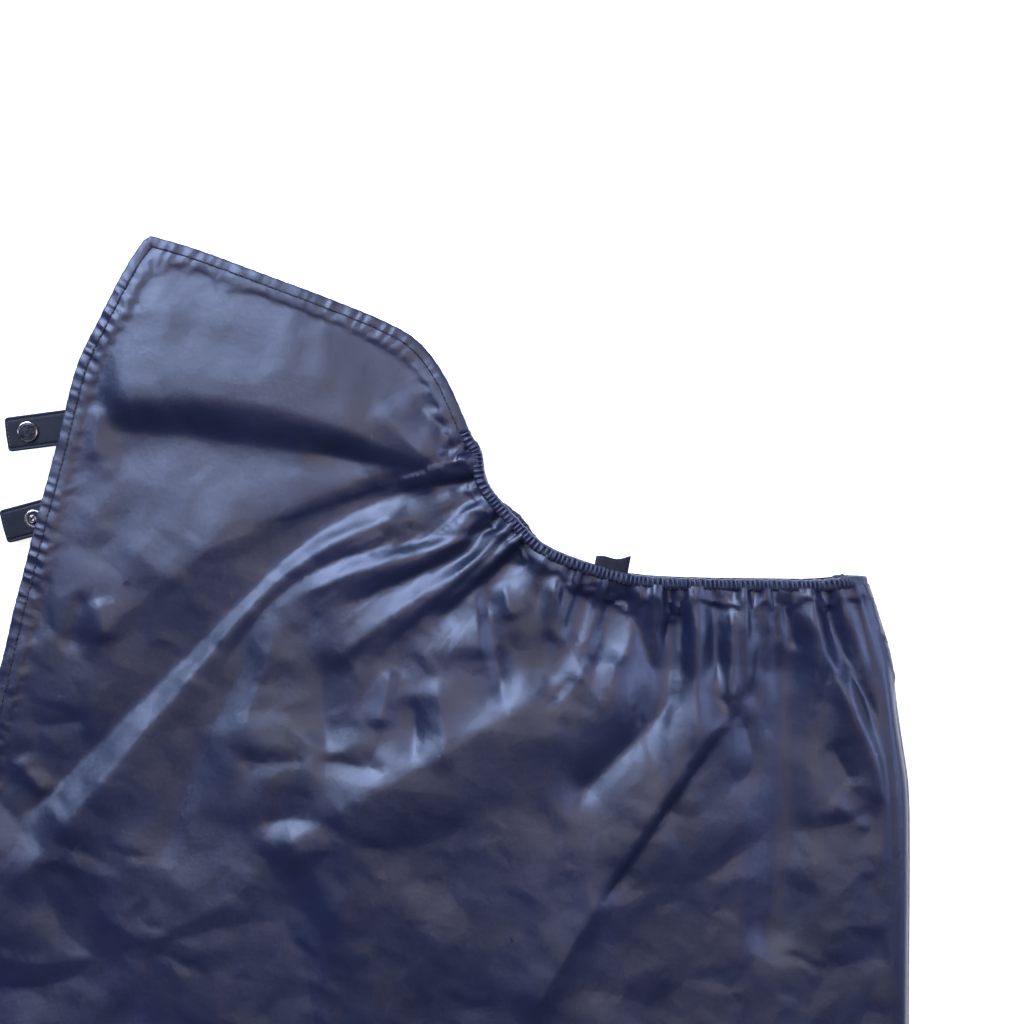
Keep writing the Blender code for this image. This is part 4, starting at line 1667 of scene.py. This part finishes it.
@dataclass
class Surcingle:
    """One belly strap of webbing with its stitched root, and the eye tab that its hook goes to."""

    end: str
    belly_y: float
    turn: float
    width: float = 0.038
    length: float = 0.560
    thickness: float = 0.0018
    root_x: float = -0.340
    bottom: float = 0.0068
    selvedge: float = 0.0003
    rib_pitch: float = 0.0032
    end_rounding: float = 0.0012
    box_at: float = 0.018  # middle of the box of stitches, from the strap's root
    box_half: float = 0.013
    box_width: float = 0.36  # half of it across, as a share of the strap's width

    def _skin(self, name: str, length: float,
              place: Callable[[np.ndarray, np.ndarray, np.ndarray], np.ndarray],
              cells: int) -> bpy.types.Object:
        """A flat webbing strip with ribbed faces and rounded selvedges.

        Args:
            name: Name of the piece.
            length: Length of the strip.
            place: Turns places along, across and over the strip into points.
            cells: Number of cells along it.

        Returns:
            The strip.
        """
        obj = cloth_grid(name, cells, 40)
        unit = read_points(obj)
        along = unit[:, 0] * length
        around = 2 * math.pi * unit[:, 1]
        across = (self.width / 2 - self.selvedge) * squared_off(np.cos(around), 0.3)
        ends = closed_ends(along, length, self.end_rounding)
        ribs = 1.0 - 0.10 * (0.5 + 0.5 * np.cos(across * 2 * math.pi / self.rib_pitch))
        up = squared_off(np.sin(around), 0.4) * ribs * ends
        write_points(obj, place(along, across, up * self.thickness / 2))
        close_mesh(obj, 2e-5)
        shade_smooth(obj, 60.0)
        return Finish.WEBBING.on(obj)

    def _on_off_side(self, along: np.ndarray, across: np.ndarray, height: np.ndarray) -> np.ndarray:
        """Places points of the strap where the surcingle lies.

        Args:
            along: Lengths along the strap.
            across: Places across it.
            height: Heights over its middle.

        Returns:
            One point for each.
        """
        cosine, sine = math.cos(self.turn), math.sin(self.turn)
        middle = self.bottom + self.thickness / 2
        return np.column_stack([self.root_x + along * cosine - across * sine,
                                self.belly_y + along * sine + across * cosine, middle + height])

    def _box_stitch(self, name: str, centre: float, half: float, top: float,
                    place: Callable[[np.ndarray, np.ndarray, np.ndarray], np.ndarray]) -> bpy.types.Object:
        """Stitches in a square with a cross in it.

        Args:
            name: Name of the piece.
            centre: The square's middle along the strap.
            half: Half its length.
            top: Its height over the strap's middle.
            place: Turns places along, across and over the strip into points.

        Returns:
            The thread.
        """
        side = np.linspace(-1.0, 1.0, 11)
        one = np.ones(side.shape)
        rows = ((side, one), (side, -one), (one, side), (-one, side), (side, side), (side, -side))
        middles, directions = [], []
        for a, b in rows:
            points = place(centre + a * half, b * self.width * self.box_width, np.full(a.shape, top))
            middles.append((points[1:] + points[:-1]) / 2)
            directions.append(points[1:] - points[:-1])
        return Thread(radius=0.0003, length=0.0022).sew(name, np.vstack(middles), np.vstack(directions))

    def build(self) -> None:
        """Makes the strap with its box stitches, and the tab."""
        strap = self._skin(f"{self.end}_surcingle_webbing", self.length, self._on_off_side, 380)
        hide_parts(f"{self.end}_surcingle_strap")
        stitches = self._box_stitch(f"{self.end}_surcingle_stitches", self.box_at, self.box_half,
                                    self.thickness / 2, self._on_off_side)
        for piece in (strap, stitches):
            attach(piece, "off_side")
        low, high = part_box(f"{self.end}_eye_tab")
        centre = (low + high) / 2

        def on_near_side(along: np.ndarray, across: np.ndarray, height: np.ndarray) -> np.ndarray:
            """Places points of the tab under the near side."""
            return np.column_stack([low.x + along, centre.y + across, centre.z + height])

        tab = self._skin(f"{self.end}_eye_webbing", high.x - low.x, on_near_side, 60)
        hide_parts(f"{self.end}_eye_tab")
        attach(tab, "near_side")
        LOG.info("%s surcingle: webbing, box stitches and eye tab", self.end)


class Fittings:
    """The CAD pieces that keep their own meshes: hooks, sliders, eye plates, stud backs and elastics."""

    METAL = ("front_surcingle_hook", "rear_surcingle_hook", "front_surcingle_slider", "rear_surcingle_slider",
             "front_eye_plate", "rear_eye_plate", "snap_socket", "snap_post")
    ELASTIC = ("near_neck_elastic", "off_neck_elastic")

    def build(self) -> None:
        """Dresses each piece."""
        for name in self.METAL:
            Finish.NICKEL.on(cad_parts[name])
        for name in self.ELASTIC:
            Finish.ELASTIC.on(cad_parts[name])
        LOG.info("fittings: %d pieces keep their CAD meshes", len(self.METAL) + len(self.ELASTIC))


# Floor, light and camera.

@dataclass
class Studio:
    """A pale floor, a large soft key from the neck and chest side, weak fills and a camera straight above."""

    aim: tuple[float, float] = (0.082, 0.5006)
    camera_height: float = 1.049
    lens: float = 50.0
    floor_size: float = 16.0
    floor_drop: float = 0.0004

    def make_floor(self) -> None:
        """A wide pale floor just under the rug."""
        deselect()
        bpy.ops.mesh.primitive_plane_add(size=self.floor_size, location=(0.0, 0.0, -self.floor_drop))
        floor = bpy.context.object
        floor.name = "studio_floor"
        nodes = Nodes("pale_floor")
        pale = nodes.ramp(nodes.noise(3.0), (0.90, 0.90, 0.90), (0.94, 0.94, 0.94))
        nodes.set(nodes.shader, "Base Color", pale)
        nodes.shader.inputs["Roughness"].default_value = 0.9
        nodes.shader.inputs["Emission Color"].default_value = (1.0, 1.0, 1.0, 1.0)
        nodes.shader.inputs["Emission Strength"].default_value = 0.75
        floor.data.materials.append(nodes.material)

    def add_light(self, name: str, offset: tuple[float, float, float], size: float, power: float,
                  colour: tuple[float, float, float]) -> None:
        """One area light that faces the rug's neck end.

        Args:
            name: Name of the light.
            offset: Where it hangs, from the point that the camera looks at.
            size: Side of its square.
            power: Its power in watts.
            colour: Its colour.
        """
        light = bpy.data.lights.new(name, "AREA")
        light.size = size
        light.energy = power
        light.color = colour
        obj = bpy.data.objects.new(name, light)
        obj.location = Vector((*self.aim, 0.0)) + Vector(offset)
        obj.rotation_euler = (-Vector(offset)).to_track_quat("-Z", "Y").to_euler()
        bpy.context.scene.collection.objects.link(obj)

    def make_camera(self) -> None:
        """Looks straight down with the neck end up."""
        camera = bpy.data.cameras.new("camera")
        camera.lens = self.lens
        camera.sensor_width = 36.0
        camera.clip_start = 0.01
        obj = bpy.data.objects.new("camera", camera)
        obj.location = (*self.aim, self.camera_height)
        bpy.context.scene.collection.objects.link(obj)
        bpy.context.scene.camera = obj

    def build(self) -> None:
        """Sets the stage."""
        scene = bpy.context.scene
        scene.view_settings.view_transform = "Standard"
        world = bpy.data.worlds.new("studio")
        world.use_nodes = True
        world.node_tree.nodes["Background"].inputs["Color"].default_value = (0.92, 0.95, 1.0, 1.0)
        world.node_tree.nodes["Background"].inputs["Strength"].default_value = 0.08
        scene.world = world
        self.make_floor()
        self.add_light("key", (-1.60, 1.90, 2.45), size=1.9, power=225.0, colour=(0.50, 0.63, 1.0))
        self.add_light("ceiling", (0.15, 0.10, 2.30), size=1.2, power=12.0, colour=(1.0, 0.86, 0.76))
        self.add_light("rim", (1.60, 0.10, 1.30), size=1.0, power=24.0, colour=(0.46, 0.56, 1.0))
        self.make_camera()
        LOG.info("studio: floor, three lights and camera")


# The rug.

def near_side() -> RugSide:
    """The upper side, rumpled and gathered.

    Returns:
        The side, ready to be built.
    """
    relief = ClothRelief(
        base=0.0255, lowest=0.0165, highest=0.0385,
        folds=PLATEAU_FOLDS + CHEST_FOLDS + SHOULDER_FOLDS + SPINE_FOLDS,
        crumples=((Crumple(pitch=0.070, height=0.0036, seed=11), 0.3),
                  (Crumple(pitch=0.032, height=0.0013, seed=12), 0.3),
                  (Crumple(pitch=0.014, height=0.0006, seed=13), 0.5)),
        gathers=(Gathers(pitch=0.0068, height=0.0012, start=0.003, reach=0.013, seed=21),
                 Gathers(pitch=0.0160, height=0.0034, start=0.008, reach=0.040, seed=22),
                 Gathers(pitch=0.0340, height=0.0046, start=0.020, reach=0.095, seed=23)),
        puckers=(SeamPuckers(NECK_HEM_LINE, pitch=0.0100, height=0.0005, reach=0.007, seed=51),
                 SeamPuckers(FRONT_LINE, pitch=0.0080, height=0.0008, reach=0.008, seed=52),
                 SeamPuckers(BELLY_LINE, pitch=0.0090, height=0.0007, reach=0.008, seed=53),
                 SeamPuckers(REAR_LINE, pitch=0.0090, height=0.0007, reach=0.008, seed=54)),
        supports=("near_strap_patch", "front_eye_tab", "rear_eye_tab", "withers_tab"),
        edge_height=0.0195)
    sheet = Sheet("near_cloth", inset=0.0015, across=320, along=320, relief=relief,
                  rows=((0.0, 0.0), (0.16, 0.36), (0.32, 0.60), (1.0, 1.0)), turns_over=True)
    return RugSide("near", "near_side", sheet, hem_rise=0.0008, casing_rise=0.0052, casing_floor=0.0242,
                   casing_out=0.0, hem_step=0.0016, flat=(0.80, 1.45), area=0.98, rests_on="off_cloth",
                   replaced=("near_side_panel", "spine_fold"), decimate=0.46, settling=Settling())


def off_side() -> RugSide:
    """The lower side, flat on the ground.

    Returns:
        The side, ready to be built.
    """
    relief = ClothRelief(
        base=0.0026, lowest=0.0008, highest=0.0050,
        crumples=((Crumple(pitch=0.075, height=0.0010, seed=31), 0.4),
                  (Crumple(pitch=0.034, height=0.0006, seed=32), 0.4)),
        gathers=(Gathers(pitch=0.0080, height=0.0010, start=0.003, reach=0.018, seed=41),))
    sheet = Sheet("off_cloth", inset=OFF_INSET + 0.0015, across=120, along=200, relief=relief,
                  rows=((0.0, 0.0), (1.0, 1.0)), withers_inset=0.0035)
    return RugSide("off", "off_side", sheet, hem_rise=0.0009, casing_rise=0.0042, casing_floor=0.0006,
                   casing_out=0.003, hem_step=0.0026, flat=(0.75, 1.42), area=0.90,
                   rests_on="studio_floor", replaced=("off_side_panel",))


def chest_straps() -> tuple[ChestStrap, ChestStrap]:
    """The near and the off chest strap.

    Returns:
        Both, ready to be built.
    """
    near = ChestStrap("near", Vector((-0.2507, 0.5605, 0.0220)), turn=math.radians(187.6), length=0.0330,
                      snap_at=0.0165, replaced=("near_chest_strap", "near_strap_patch"))
    off = ChestStrap("off", Vector((-0.2583, 0.4982, 0.0068)), turn=math.radians(195.0), length=0.0340,
                     snap_at=0.0098, replaced=("off_chest_strap", "off_strap_patch"))
    return near, off


def main() -> None:
    """Builds the rug in the order that it is laid down, then sets the stage."""
    logging.basicConfig(level=logging.INFO, format="%(name)s: %(message)s")
    Studio().build()
    off_side().build()
    near_side().build()
    WithersTurn().build()
    straps = chest_straps()
    for strap in straps:
        strap.build()
    PressStud(*straps).build()
    for end, belly_y, degrees in (("front", -0.020, 7.0), ("rear", -0.330, -7.0)):
        Surcingle(end, belly_y, math.radians(degrees)).build()
    Fittings().build()


if __name__ == "__main__":
    main()
